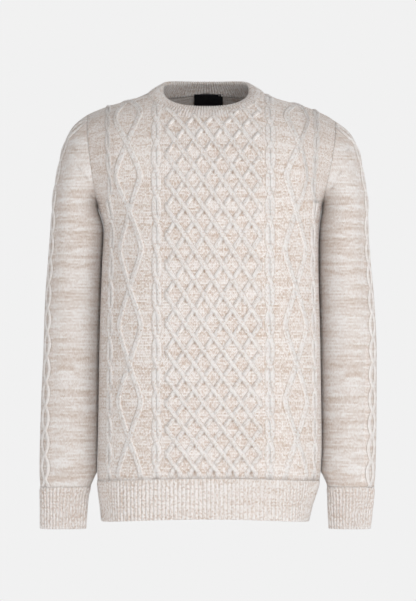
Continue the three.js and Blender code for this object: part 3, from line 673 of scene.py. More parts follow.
def cut_neck(piece):
    """Takes the neck hole out of a panel with an upright prism."""
    angles = np.arange(NECK_CUT_POINTS) / NECK_CUT_POINTS * 2 * math.pi
    x, y = neck_outline(NECK_SEAM, angles)
    bm = bmesh.new()
    verts = [bm.verts.new((a * MM, b * MM, NECK_HOLE_FLOOR * MM)) for a, b in zip(x, y)]
    floor = bm.faces.new(verts)
    grown = bmesh.ops.extrude_face_region(bm, geom=[floor])
    risen = [item for item in grown["geom"] if isinstance(item, bmesh.types.BMVert)]
    height = (NECK_HOLE_TOP - NECK_HOLE_FLOOR) * MM
    bmesh.ops.translate(bm, verts=risen, vec=(0, 0, height))
    bmesh.ops.recalc_face_normals(bm, faces=bm.faces[:])
    mesh = bpy.data.meshes.new("neck_cutter")
    bm.to_mesh(mesh)
    bm.free()
    cutter = bpy.data.objects.new("neck_cutter", mesh)
    bpy.context.scene.collection.objects.link(cutter)
    cut = piece.modifiers.new("neck", "BOOLEAN")
    cut.operation = "DIFFERENCE"
    cut.solver = "MANIFOLD"
    cut.object = cutter
    apply_modifiers(piece)
    bpy.data.objects.remove(cutter)
    bpy.data.meshes.remove(mesh)


def apply_modifiers(piece):
    """Replaces a piece's mesh by the one its modifiers make."""
    graph = bpy.context.evaluated_depsgraph_get()
    made = bpy.data.meshes.new_from_object(piece.evaluated_get(graph), depsgraph=graph)
    old = piece.data
    made.name = old.name
    piece.modifiers.clear()
    piece.data = made
    bpy.data.meshes.remove(old)


def panel_inner(panel, wales, courses):
    """The plain inside of a panel. Its side edges keep to the seams."""
    points = cloth_points(panel, wales[None, :], courses[:, None])
    normals = normals_of(points)
    normals[:, [0, -1], 1] = 0
    normals[-1, :, 1] = 0
    above = courses > ARMPIT_Z - 1
    for column in (0, -1):
        outward = points[above, column] - ARMHOLE_MIDDLE
        outward[:, 0] = 0
        normals[above, column] = outward
    normals /= np.linalg.norm(normals, axis=-1, keepdims=True)
    return points - WALL * normals


def knit_share(cover):
    """How far cloth is knit rather than purl, by its cover with a strand."""
    return smooth(3 * cover)


def stitch_map(across, along_cloth, sizes):
    """Wales and courses counted in stitches."""
    return np.stack([across / sizes["wale"], along_cloth / sizes["course"]], -1)


def sheet_facts(piece, node):
    """Ties a piece of cloth to the root and hides its solids."""
    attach(piece, "root")
    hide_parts(*node)


def sizes_now():
    """The user's sizes, in millimetres."""
    values = bpy.context.scene.sweater_sizes
    return {
        "wale": values.wale / MM,
        "course": values.course / MM,
        "strand": values.strand_height / MM,
        "rope": values.rope_height / MM,
        "diamond": values.diamond_height / MM,
        "rib": values.rib_height / MM,
    }


def build_front():
    """Front panel: the cable chart raised over a plain inside."""
    sizes = sizes_now()
    wales = chart_columns()
    courses = chart_courses(ARMPIT_Z + FRONT["rise"])
    across, up = np.meshgrid(wales, courses)
    points = cloth_points(FRONT, across, up)
    relief = cable_relief(across, up, sizes)
    fade = smooth((up - RIB_TOP_Z) / CABLE_FADE["hem"])
    fade = fade * smooth((courses[-1] - up) / CABLE_FADE["shoulder"])
    height = relief["height"] * fade
    outer_points = points + normals_of(points) * height[..., None]
    stitches = chart_stitches(across, up, relief, sizes)
    outer = grid_mesh("front_outer", outer_points, stitches, knit_share(relief["cover"]),
                      relief["shade"] * fade, relief["cover"] * fade)
    inner_wales = thinned(wales, FRONT_INSIDE["wales"])
    inner_courses = thinned(courses, FRONT_INSIDE["courses"])
    inner_points = panel_inner(FRONT, inner_wales, inner_courses)
    inner_map = stitch_map(*np.meshgrid(inner_wales, inner_courses), sizes)
    inner = grid_mesh("front_inner", inner_points, inner_map, 0)
    piece = walled("sweater_front", outer, inner)
    cut_neck(piece)
    return piece


def chart_stitches(across, up, relief, sizes):
    """Stitch map of each face's corners. On a strand its stitches follow that strand."""
    rows, columns = across.shape
    places = np.empty((rows - 1, columns - 1, 2, 2, 2))
    covered = relief["cover"] > COVERED
    picked = covered[:-1, :-1] & covered[1:, 1:]
    for i in (0, 1):
        for j in (0, 1):
            part = (slice(i, rows - 1 + i), slice(j, columns - 1 + j))
            offset, slope = relief["offset"][part], relief["slope"][part]
            aside = offset / np.hypot(1, slope)
            ahead = relief["run"][part] + aside * slope
            wale = np.where(picked, aside, across[part] - CHART_CENTRE)
            course = np.where(picked, ahead, up[part])
            places[:, :, i, j] = stitch_map(wale, course, sizes)
    return places


def build_back():
    """Back panel: plain knit outside and purl inside."""
    sizes = sizes_now()
    wales = np.linspace(HALF_GIRTH, -HALF_GIRTH, BACK_GRID["wales"])
    courses = np.linspace(RIB_TOP_Z, ARMPIT_Z + BACK["rise"], BACK_GRID["courses"])
    points = cloth_points(BACK, wales[None, :], courses[:, None])
    outer = grid_mesh("back_outer", points, stitch_map(*np.meshgrid(wales, courses), sizes), 1)
    inner_wales = thinned(wales, BACK_GRID["inside"])
    inner_points = panel_inner(BACK, inner_wales, courses)
    inner_map = stitch_map(*np.meshgrid(inner_wales, courses), sizes)
    inner = grid_mesh("back_inner", inner_points, inner_map, 0)
    piece = walled("sweater_back", outer, inner)
    cut_neck(piece)
    return piece


def rib_height(ribs):
    """Height across ribs: round on each crest and narrow in each valley."""
    return np.abs(np.sin(np.pi * ribs)) ** 0.8


def rib_start(distance):
    """Share of their height that ribs have below a seam, by the distance from it."""
    return mix(RIB_START["share"], 1, smooth(distance / RIB_START["reach"]))


def rib_cloth(ribs):
    """How far the cloth across ribs is knit rather than purl, and the shade in its valleys."""
    crest = rib_height(ribs)[None, :]
    return smooth(2.2 * crest - 0.8), 0.6 * smooth(1 - 2.4 * crest)


def rib_courses(edge, top, steps):
    """Heights up a rib: close together at its free edge and even above."""
    return np.concatenate([edge + np.array(EDGE_STEPS), np.linspace(edge + EDGE_END, top, steps)])


def edge_roll(distance):
    """How far a knitted edge curls in, by the distance from it."""
    part = np.clip(1 - distance / EDGE_RADIUS, 0, 1)
    return EDGE_RADIUS * EDGE_CURL * (1 - np.sqrt(1 - part * part))


def build_hem_rib(panel, name):
    """Hem rib of one panel."""
    sizes = sizes_now()
    steps = HEM_RIBS * RIB_STEPS
    wales = np.linspace(HALF_GIRTH, -HALF_GIRTH, steps + 1) * panel["sign"]
    ribs = np.linspace(0, HEM_RIBS, steps + 1)
    top = RIB_TOP_Z - CLOTH_GAP
    courses = rib_courses(HEM_Z, top, HEM_GRID["courses"])
    points = cloth_points(panel, wales[None, :], courses[:, None])
    lift = sizes["rib"] * rib_height(ribs)[None, :] * rib_start(top - courses)[:, None]
    lift = lift - edge_roll(courses - HEM_Z)[:, None]
    outer_points = points + normals_of(points) * lift[..., None]
    rib_map = np.meshgrid(ribs * 2, courses / sizes["course"])
    outer = grid_mesh("rib_outer", outer_points, np.stack(rib_map, -1), *rib_cloth(ribs))
    inner_wales = thinned(wales, HEM_GRID["wales"])
    inner_courses = thinned(courses, RIB_INSIDE)
    inner_points = panel_inner(panel, inner_wales, inner_courses)
    inner_map = stitch_map(*np.meshgrid(inner_wales, inner_courses), sizes)
    inner = grid_mesh("rib_inner", inner_points, inner_map, 0)
    return walled(name, outer, inner)


def even_ring(line, shares):
    """Points at shares of the way round a closed line, starting at its first point."""
    closed = np.concatenate([line, line[:1]])
    runs = running(np.linalg.norm(np.diff(closed, axis=0), axis=1))
    at = np.mod(shares, 1) * runs[-1]
    return np.stack([np.interp(at, runs, closed[:, k]) for k in range(3)], -1), runs[-1]


def closed_rings(rings, shares):
    """Rows of points at shares of the way round each ring, the last on the first."""
    points = np.stack([even_ring(ring, shares)[0] for ring in rings])
    points[:, -1] = points[:, 0]
    return points


def sleeve_oval(inner, outer, front, back):
    """A ring of a sleeve from its inner end over the front, the outer end and the back."""
    turns = np.arange(RING_POINTS) / RING_POINTS * 2 * math.pi
    middle = mix(inner, outer, 0.5)
    half = (outer - inner) / 2
    ring = middle - np.cos(turns)[:, None] * half
    ring[:, 1] = (front + back) / 2 - np.sin(turns) * (back - front) / 2
    return ring


def sleeve_inner(side, z):
    """Inner line of a sleeve, which lies against the body down to its lower end."""
    line = float(along(SLEEVE, "z", z, "left_in" if side < 0 else "right_in"))
    return max(line, float(edge_x(np.array(float(side)), np.array(float(z)))) + BODY_GAP)


def sleeve_band(side, z):
    """The ring of a sleeve or cuff at one height below the armpit."""
    name = "left" if side < 0 else "right"
    read = {key: float(along(SLEEVE, "z", z, key)) for key in (name + "_out", "front", "back")}
    inner = np.array([side * sleeve_inner(side, z), 0, z])
    outer = np.array([side * read[name + "_out"], 0, z])
    return sleeve_oval(inner, outer, read["front"], read["back"])


def head_ring(side, lean):
    """The ring of a sleeve's head at one lean from upright."""
    first = SLEEVE_HEAD[0]["lean"]
    slide = (lean - first) / (HEAD_TURN - first)
    armpit_x = float(edge_x(np.array(float(side)), np.array(float(ARMPIT_Z))))
    low_x = sleeve_inner(side, ARMPIT_Z - ARMPIT_DROP)
    inner = np.array([side * mix(armpit_x, low_x, slide), 0, ARMPIT_Z - ARMPIT_DROP * slide])
    reach, front, back = (float(along(SLEEVE_HEAD, "lean", lean, key))
                          for key in ("reach", "front", "back"))
    angle = math.radians(lean)
    outer = inner + reach * np.array([side * math.sin(angle), 0, math.cos(angle)])
    settle = SHOULDER_LEAN / 2 * (1 - slide)
    return sleeve_oval(inner, outer, settle - front, settle + back)


def armhole_loop(side):
    """The armhole's edge, from the armpit over the front to the shoulder and down the back."""
    parts = []
    for panel in (FRONT, BACK):
        courses = np.linspace(ARMPIT_Z, ARMPIT_Z + panel["rise"], ARMHOLE_READINGS)
        parts.append(cloth_points(panel, np.full_like(courses, side * HALF_GIRTH), courses))
    return np.concatenate([parts[0], parts[1][::-1][1:-1]])


def sleeve_rings(side):
    """Rings of a sleeve from the armhole to the cuff."""
    shares = np.arange(RING_POINTS) / RING_POINTS
    loop, _ = even_ring(armhole_loop(side), shares)
    first, _ = even_ring(head_ring(side, SLEEVE_HEAD[0]["lean"]), shares)
    rings = []
    for share in np.arange(SLEEVE_ROWS["head"]) / SLEEVE_ROWS["head"]:
        lean = mix(SLEEVE_HEAD[0]["lean"], HEAD_TURN, share)
        ring, _ = even_ring(head_ring(side, lean), shares)
        pull = 1 - smooth(share * ARMHOLE_PULL)
        rings.append(ring + (loop - first) * pull + [side * CLOTH_GAP * pull, 0, 0])
    for z in np.linspace(ARMPIT_Z - ARMPIT_DROP, SLEEVE_END_Z, SLEEVE_ROWS["arm"] + 1):
        rings.append(even_ring(sleeve_band(side, z), shares)[0])
    return rings


def sleeve_shares():
    """Shares round a sleeve: close together over its cable and wider elsewhere."""
    centre = 0.25 + 0.25 * CABLE_LEAN / 90
    cable = centre + SLEEVE_CABLE_SHARE * np.linspace(-1, 1, SLEEVE_COLUMNS["cable"])
    before = np.linspace(0, cable[0], SLEEVE_COLUMNS["before"] + 1)[:-1]
    after = np.linspace(cable[-1], 1, SLEEVE_COLUMNS["after"] + 1)[1:]
    return np.concatenate([before, cable, after]), centre


def build_sleeve(side, name):
    """One sleeve: plain knit with a chain of ovals down its outer side."""
    sizes = sizes_now()
    shares, centre = sleeve_shares()
    rings = sleeve_rings(side)
    points = closed_rings(rings, shares)
    lengths = np.array([even_ring(ring, shares)[1] for ring in rings])
    cable_line = np.stack([even_ring(ring, np.array([centre]))[0][0] for ring in rings])
    runs = running(np.linalg.norm(np.diff(cable_line, axis=0), axis=1))
    offset = (shares[None, :] - centre) * lengths[:, None]
    distance = np.broadcast_to(runs[:, None], offset.shape)
    relief, cover, line = sleeve_cable(offset, distance, sizes)
    marks = fashioning(side, points)
    height = (relief - MARK_DEPTH * marks) * smooth(distance / SLEEVE_FADE)
    outer_points = points + ring_outward(points) * height[..., None]
    outer_points[:, -1] = outer_points[:, 0]
    level_offset, level_distance = level_knitting(points, int(np.argmin(np.abs(shares - centre))))
    wales = level_offset - np.where(cover > COVERED, line, 0)
    stitches = stitch_map(wales, -level_distance, sizes)
    past = np.abs(offset) - SLEEVE_GROUND["half"]
    knit = np.where(past < 0, knit_share(cover), smooth(past / SLEEVE_GROUND["fade"]))
    # The fashioning marks' dents also get painted shade
    outer = grid_mesh("sleeve_outer", outer_points, stitches, knit, 0.5 * marks, cover)
    return walled(name, outer, sleeve_inside(rings), tube=True)


def sleeve_inside(rings):
    """The plain inside of a sleeve. Its upper edge keeps to the armhole."""
    shares = np.linspace(0, 1, SLEEVE_COLUMNS["inside"])
    points = closed_rings(thinned(np.stack(rings), SLEEVE_ROWS["inside"]), shares)
    outward = ring_outward(points)
    at_seam = points[0] - ARMHOLE_MIDDLE
    at_seam[:, 0] = 0
    outward[0] = at_seam / np.linalg.norm(at_seam, axis=-1, keepdims=True)
    rows = np.arange(SLEEVE_ROWS["inside"]) * SLEEVE_INSIDE["courses"]
    places = np.stack(np.meshgrid(shares * SLEEVE_INSIDE["wales"], rows), -1)
    return grid_mesh("sleeve_inner", points - outward * WALL, places, 0)


def fashioning(side, points):
    """Short slanting marks beside the armhole, where stitches were taken off."""
    marks = np.zeros(points.shape[:2])
    for mark in FASHION_MARKS:
        if mark["side"] == side:
            across = side * points[..., 0] - mark["x"]
            up = points[..., 2] - mark["z"]
            along_mark = (across + up) / math.sqrt(2)
            beside = (across - up) / math.sqrt(2)
            spot = np.exp(-((along_mark / MARK_LONG) ** 2) - (beside / MARK_WIDE) ** 2)
            marks = np.maximum(marks, spot * (points[..., 1] < 0))
    return marks


def level_knitting(points, middle):
    """Wales from a sleeve's middle column, and courses that stay level over its head."""
    x, y, z = (points[..., k] for k in range(3))
    highest = int(np.argmax(z[0]))
    runs = running(np.linalg.norm(np.diff(points[:, highest], axis=0), axis=1))
    distance = np.interp(-z, -z[:, highest], runs)
    levels = np.linspace(z.max(), ARMPIT_Z - ARMPIT_DROP, LEVELS)
    levels = np.concatenate([levels, np.linspace(levels[-1], z.min(), LEVELS)[1:]])
    crossings = np.stack([
        np.stack([np.interp(-levels, -z[:, j], part[:, j]) for part in (x, y)], -1)
        for j in range(points.shape[1])
    ], 1)
    arcs = running(np.linalg.norm(np.diff(crossings, axis=1), axis=-1))
    arcs = arcs - arcs[:, middle:middle + 1]
    offset = np.stack([np.interp(-z[:, j], -levels, arcs[:, j]) for j in range(z.shape[1])], 1)
    return offset, distance


def sleeve_cable(offset, distance, sizes):
    """Two strands that cross again and again, with purl between them."""
    phase = distance / SLEEVE_CABLE_REPEAT
    swing = SLEEVE_CABLE_SWING * np.abs(np.sin(np.pi * phase)) ** 0.8
    height = np.zeros_like(offset)
    cover = np.zeros_like(offset)
    line = np.zeros_like(offset)
    for sign in (1, -1):
        middle = sign * swing
        shape = round_strand((offset - middle) / SLEEVE_STRAND)
        lift = sizes["rope"] * shape
        line = np.where(lift > height, middle, line)
        height = np.maximum(height, lift)
        cover = np.maximum(cover, shape)
    return height, cover, line


def build_cuff(side, name):
    """Cuff rib of one sleeve."""
    sizes = sizes_now()
    shares = np.linspace(0, 1, CUFF_RIBS * RIB_STEPS + 1)
    ribs = shares * CUFF_RIBS
    top = SLEEVE_END_Z - CLOTH_GAP
    heights = rib_courses(CUFF_END_Z, top, CUFF_GRID["courses"])[::-1]
    points = closed_rings([sleeve_band(side, z) for z in heights], shares)
    lift = sizes["rib"] * rib_height(ribs)[None, :] * rib_start(top - heights)[:, None]
    lift = lift - edge_roll(heights - CUFF_END_Z)[:, None]
    outer_points = points + ring_outward(points) * lift[..., None]
    outer_points[:, -1] = outer_points[:, 0]
    rib_map = np.stack(np.meshgrid(ribs * 2, heights / sizes["course"]), -1)
    outer = grid_mesh("cuff_outer", outer_points, rib_map, *rib_cloth(ribs))
    inner_shares = np.linspace(0, 1, CUFF_GRID["columns"])
    inner_heights = thinned(heights, RIB_INSIDE)
    inner_points = closed_rings([sleeve_band(side, z) for z in inner_heights], inner_shares)
    inner_points = inner_points - ring_outward(inner_points) * WALL
    inner_wales = inner_shares * CUFF_GRID["wales"]
    inner_map = np.stack(np.meshgrid(inner_wales, inner_heights / sizes["course"]), -1)
    inner = grid_mesh("cuff_inner", inner_points, inner_map, 0)
    return walled(name, outer, inner, tube=True)


def ring_outward(points):
    """Outward directions of a closed tube of rings, whichever way they run."""
    outward = normals_of(points, closed=True)
    middle = points[:, :-1].mean(1, keepdims=True)
    if np.sum(outward * (points - middle)) < 0:
        outward = -outward
    return outward


def cloth_height(x, y):
    """Height of the cloth above points of the plan near the neck."""
    heights = np.empty_like(x)
    for panel, chosen in ((FRONT, y < SHOULDER_LEAN), (BACK, y >= SHOULDER_LEAN)):
        px, py = x[chosen], y[chosen]
        low = np.full_like(px, -100)
        high = ridge(px, panel["column"])
        for _ in range(24):
            z = (low + high) / 2
            lean = SHOULDER_LEAN * smooth((z - ARMPIT_Z + 30) / 150)
            deeper = depth_at(panel, px, z) > np.abs(py - lean)
            low = np.where(deeper, z, low)
            high = np.where(deeper, high, z)
        heights[chosen] = (low + high) / 2
    return heights


def build_neckband():
    """Neckband: a rib folded over its rim, with its ribs on both faces."""
    sizes = sizes_now()
    ribs = np.linspace(0, NECK_RIBS, NECK_RIBS * RIB_STEPS + 1)
    angles = neck_angles(ribs / NECK_RIBS)
    under_x, under_y = neck_outline(NECK_SEAM, angles)
    over_x, over_y = neck_outline(NECK_RIM, angles)
    inside = np.stack([under_x - NECK_X, under_y], -1)
    reach = np.linalg.norm(inside, axis=-1, keepdims=True)
    inside = inside * (reach - SEAM_GAP) / reach
    seam = np.stack([NECK_X + inside[:, 0], inside[:, 1], cloth_height(under_x, under_y)], -1)
    at_front = over_y < 0
    share = np.abs(over_y) / np.where(at_front, NECK_RIM["front"], NECK_RIM["back"])
    rise = np.where(at_front, share, np.sin(share * math.pi / 2))
    rim_z = mix(RIM_SIDE_Z, np.where(at_front, RIM_FRONT_Z, RIM_BACK_Z), rise)
    rim = np.stack([over_x, over_y, rim_z], -1)
    up = rim - seam
    tall = np.linalg.norm(up, axis=-1, keepdims=True)
    up = up / tall
    outward = np.stack([over_x - NECK_X, over_y, 0 * over_x], -1)
    outward = outward - up * np.sum(outward * up, -1, keepdims=True)
    outward /= np.linalg.norm(outward, axis=-1, keepdims=True)
    section = band_section(tall[:, 0].mean())
    points = np.stack([
        seam + up * (height * tall) + outward * out
        for height, out in section
    ])
    points[:, -1] = points[:, 0]
    rows = np.concatenate([points[-2:-1], points, points[1:2]])
    along_section = (rows[2:] - rows[:-2])
    wrapped = np.concatenate([points[:, -2:-1], points, points[:, 1:2]], axis=1)
    normals = np.cross(wrapped[:, 2:] - wrapped[:, :-2], along_section)
    normals /= np.linalg.norm(normals, axis=-1, keepdims=True)
    height = sizes["rib"] * rib_height(ribs)
    points = points + normals * height[None, :, None]
    points[-1] = points[0]
    points[:, -1] = points[:, 0]
    runs = running(np.linalg.norm(np.diff(points[:, 0], axis=0), axis=1))
    band_map = np.stack(np.meshgrid(ribs * 2, runs / sizes["course"]), -1)
    outer = grid_mesh("band_outer", points, band_map, *rib_cloth(ribs))
    return walled("sweater_neckband", outer, tube=True)


def band_section(tall):
    """Section of the folded band: share of its height and distance outwards, all the way round."""
    radius = BAND_WALL / 2
    top = 1 - radius / tall
    section = [(h, BAND_SWELL * 4 * h * (1 - h)) for h in np.linspace(0, top, 12)]
    start = section[-1][1]
    for turn in np.linspace(0, math.pi, 9)[1:]:
        out = start - radius + radius * math.cos(turn)
        section.append((top + radius * math.sin(turn) / tall, out))
    end = section[-1][1]
    for h in np.linspace(top, BAND_INSIDE["foot"], 10)[1:]:
        swell = BAND_SWELL * 4 * h * (1 - h) - start
        section.append((h, end + BAND_INSIDE["swell"] * swell))
    section.append((0.0, -radius))
    section.append((0.0, 0.0))
    return section


def build_label():
    """Blank woven label inside the back, below the neckband."""
    courses = np.arange(ARMPIT_Z + BACK["rise"], ARMPIT_Z, -1.0)
    centre = cloth_points(BACK, np.zeros_like(courses), courses)
    top = courses[np.argmax(centre[:, 1] > NECK_SEAM["back"] + LABEL_BEHIND)]
    wales = np.linspace(LABEL_WIDE / 2, -LABEL_WIDE / 2, LABEL_GRID["wales"])
    rows = np.linspace(top - LABEL_LONG, top, LABEL_GRID["courses"])
    points = cloth_points(BACK, wales[None, :], rows[:, None])
    normals = normals_of(points)
    across = np.abs(wales) / (LABEL_WIDE / 2)
    down = np.abs(rows - rows.mean()) / (LABEL_LONG / 2)
    bow = np.cos(across * math.pi / 2)[None, :] * np.cos(down * math.pi / 2)[:, None]
    lift = WALL + SEAM_GAP + LABEL_SLACK * bow
    near = points - normals * lift[..., None]
    near_top = smooth(1 - (rows[-1] - rows) / LABEL_LEAN)[:, None]
    band_y = NECK_SEAM["back"] - BAND_WALL - sizes_now()["rib"] - 2 * SEAM_GAP
    near[..., 1] -= np.maximum(near[-1:, :, 1] - band_y, 0) * near_top
    near[..., 2] += (LABEL_TOP_Z - near[-1:, :, 2]) * near_top
    inward = normals_of(near)
    far = near - inward * LABEL_THICK
    label_map = np.stack(np.meshgrid(wales, rows), -1)
    outer = grid_mesh("label_face", far, label_map, 0)
    inner = grid_mesh("label_back", near, label_map, 0)
    return walled("sweater_label", outer, inner)


def maths(tree, operation, *values):
    """Adds one Math node and returns its result."""
    node = tree.nodes.new("ShaderNodeMath")
    node.operation = operation
    for socket, value in zip(node.inputs, values):
        if isinstance(value, (int, float)):
            socket.default_value = value
        else:
            tree.links.new(value, socket)
    return node.outputs[0]


def blend(tree, share, first, second):
    """Adds one colour Mix node and returns its result."""
    node = tree.nodes.new("ShaderNodeMix")
    node.data_type = "RGBA"
    for socket, value in zip((node.inputs[0], node.inputs[6], node.inputs[7]), (share, first, second)):
        if isinstance(value, (int, float, tuple)):
            socket.default_value = value
        else:
            tree.links.new(value, socket)
    return node.outputs[2]


def attribute(tree, name):
    node = tree.nodes.new("ShaderNodeAttribute")
    node.attribute_name = name
    return node.outputs["Fac"]


def ramp(tree, value, low, high):
    """Smooth step of a value from 0 at low to 1 at high."""
    node = tree.nodes.new("ShaderNodeMapRange")
    node.interpolation_type = "SMOOTHSTEP"
    tree.links.new(value, node.inputs["Value"])
    node.inputs["From Min"].default_value = low
    node.inputs["From Max"].default_value = high
    return node.outputs["Result"]


def scaled(tree, value, factor):
    return maths(tree, "MULTIPLY", value, factor)


def noise(tree, x, y, z, detail):
    """Noise read at three values."""
    place = tree.nodes.new("ShaderNodeCombineXYZ")
    for socket, value in zip(place.inputs, (x, y, z)):
        if isinstance(value, (int, float)):
            socket.default_value = value
        else:
            tree.links.new(value, socket)
    node = tree.nodes.new("ShaderNodeTexNoise")
    node.inputs["Scale"].default_value = 1
    node.inputs["Detail"].default_value = detail
    tree.links.new(place.outputs[0], node.inputs["Vector"])
    return node.outputs["Fac"]


def named_group(name, inputs, outputs):
    """An empty shader node group with named sockets, and its input and output nodes."""
    tree = bpy.data.node_groups.new(name, "ShaderNodeTree")
    for label, kind, value in inputs:
        socket = tree.interface.new_socket(label, in_out="INPUT", socket_type=kind)
        socket.default_value = value
    for label, kind in outputs:
        tree.interface.new_socket(label, in_out="OUTPUT", socket_type=kind)
    return tree, tree.nodes.new("NodeGroupInput").outputs, tree.nodes.new("NodeGroupOutput").inputs


def stitch_group():
    """Knit and purl stitches: height, painted shade in the gaps between the yarns, and the course each
    stitch belongs to.
    """
    tree, _, made = named_group(
        "Knit and purl stitches", [],
        [("Height", "NodeSocketFloat"), ("Gap shade", "NodeSocketFloat"), ("Course", "NodeSocketFloat"),
         ("Wale", "NodeSocketFloat"), ("Leg", "NodeSocketFloat")],
    )
    place = tree.nodes.new("ShaderNodeUVMap")
    place.uv_map = "stitches"
    parts = tree.nodes.new("ShaderNodeSeparateXYZ")
    tree.links.new(place.outputs[0], parts.inputs[0])
    wale, course = parts.outputs[0], parts.outputs[1]
    share = maths(tree, "FRACT", wale)
    leg = maths(tree, "ABSOLUTE", maths(tree, "MULTIPLY_ADD", share, 2, -1))
    hump = maths(tree, "POWER", maths(tree, "SINE", maths(tree, "MULTIPLY", leg, math.pi)), 0.55)
    slant = maths(tree, "MULTIPLY_ADD", leg, -0.85, course)
    bead = maths(tree, "FRACT", slant)
    bead = maths(tree, "MULTIPLY", maths(tree, "SUBTRACT", 1, bead), maths(tree, "MULTIPLY", bead, 4))
    plain = maths(tree, "MULTIPLY", hump, maths(tree, "MULTIPLY_ADD", bead, 0.55, 0.45))
    wave = maths(tree, "COSINE", maths(tree, "MULTIPLY", wale, 2 * math.pi))
    purl_course = maths(tree, "MULTIPLY_ADD", wave, 0.2, course)
    arc = maths(tree, "SINE", maths(tree, "MULTIPLY", purl_course, 2 * math.pi))
    purl = maths(tree, "MULTIPLY", maths(tree, "MULTIPLY_ADD", arc, 0.5, 0.5),
                 maths(tree, "MULTIPLY_ADD", wave, 0.22, 0.78))
    knit = attribute(tree, "knit")
    keep = maths(tree, "SUBTRACT", 1, knit)
    height = maths(tree, "ADD", maths(tree, "MULTIPLY", plain, knit),
                   maths(tree, "MULTIPLY", maths(tree, "MULTIPLY", purl, 0.8), keep))
    tree.links.new(height, made["Height"])
    # Painted shade where the yarn is low, between the stitches' legs and bumps
    knit_gap_shade = maths(tree, "MULTIPLY", maths(tree, "SUBTRACT", 1, ramp(tree, plain, 0.0, 0.7)), knit)
    purl_gap_shade = maths(tree, "MULTIPLY", maths(tree, "SUBTRACT", 1, ramp(tree, purl, 0.0, 0.75)), keep)
    tree.links.new(maths(tree, "ADD", knit_gap_shade, purl_gap_shade), made["Gap shade"])
    row = maths(tree, "ADD", maths(tree, "MULTIPLY", maths(tree, "FLOOR", slant), knit),
                maths(tree, "MULTIPLY", maths(tree, "FLOOR", purl_course), keep))
    tree.links.new(row, made["Course"])
    tree.links.new(wale, made["Wale"])
    half = maths(tree, "FLOOR", scaled(tree, wale, 2))
    legs = maths(tree, "MULTIPLY_ADD", row, 57.3, half)
    chance = tree.nodes.new("ShaderNodeTexWhiteNoise")
    chance.noise_dimensions = "1D"
    tree.links.new(legs, chance.inputs["W"])
    tree.links.new(chance.outputs["Value"], made["Leg"])
    return tree


def marl_group():
    """Marled yarn: runs of the darker ply along the courses and specks stitch by stitch, with painted
    shade in gaps and recesses and a painted highlight on raised strands.
    """
    tree, given, made = named_group(
        "Marled yarn and painted shade",
        [("Wale", "NodeSocketFloat", 0.0), ("Course", "NodeSocketFloat", 0.0),
         ("Gap shade", "NodeSocketFloat", 0.0), ("Leg", "NodeSocketFloat", 0.0),
         ("Ecru", "NodeSocketColor", (1, 1, 1, 1)), ("Tan", "NodeSocketColor", (1, 1, 1, 1)),
         ("Shade colour", "NodeSocketColor", (1, 1, 1, 1)), ("Streaks", "NodeSocketFloat", 1.0),
         ("Specks", "NodeSocketFloat", 1.0)],
        [("Colour", "NodeSocketColor")],
    )
    wale, course = given["Wale"], given["Course"]
    share = 0.0
    for run in MARL_RUNS:
        place = (scaled(tree, wale, run["wale"]), scaled(tree, course, run["course"]), run["layer"])
        darker = ramp(tree, noise(tree, *place, run["detail"]), run["low"], run["high"])
        share = maths(tree, "MULTIPLY_ADD", darker, run["weight"], share)
    share = maths(tree, "MULTIPLY", share, given["Streaks"])
    cover = attribute(tree, "cover")
    # Painted highlight: raised strands get less of the darker runs, so they look paler as if catching
    # the light
    painted_highlight_factor = maths(tree, "MULTIPLY_ADD", ramp(tree, cover, 0.1, 0.5), -0.65, 1)
    share = maths(tree, "MULTIPLY", share, painted_highlight_factor)
    speck = noise(tree, scaled(tree, wale, 0.9), scaled(tree, course, 0.9), 8, 1)
    by_leg = scaled(tree, given["Leg"], 0.5)
    specks = maths(tree, "MULTIPLY_ADD", ramp(tree, speck, 0.36, 0.64), 0.5, by_leg)
    specks = maths(tree, "MULTIPLY", maths(tree, "SUBTRACT", specks, 0.5), given["Specks"])
    share = maths(tree, "ADD", share, specks)
    colour = blend(tree, share, given["Ecru"], given["Tan"])
    # Painted shade: a dark line along each strand's edge, the gaps between yarns, and the shade
    # attribute (dots, rib valleys, fashioning marks), blended towards the shade colour
    side = maths(tree, "MULTIPLY", ramp(tree, cover, 0.0, 0.12),
                 maths(tree, "SUBTRACT", 1, ramp(tree, cover, 0.15, 0.55)))
    dark = maths(tree, "MULTIPLY_ADD", side, 0.24, scaled(tree, given["Gap shade"], 0.38))
    dark = maths(tree, "MAXIMUM", dark, maths(tree, "MULTIPLY", attribute(tree, "shade"), 0.9))
    colour = blend(tree, dark, colour, given["Shade colour"])
    tree.links.new(colour, made["Colour"])
    return tree


def shader(material, **values):
    """The material's Principled shader with its even values set."""
    node = material.node_tree.nodes["Principled BSDF"]
    for label, value in values.items():
        node.inputs[label.replace("_", " ")].default_value = value
    return node


def place_group(material, tree):
    node = material.node_tree.nodes.new("ShaderNodeGroup")
    node.node_tree = tree
    return node


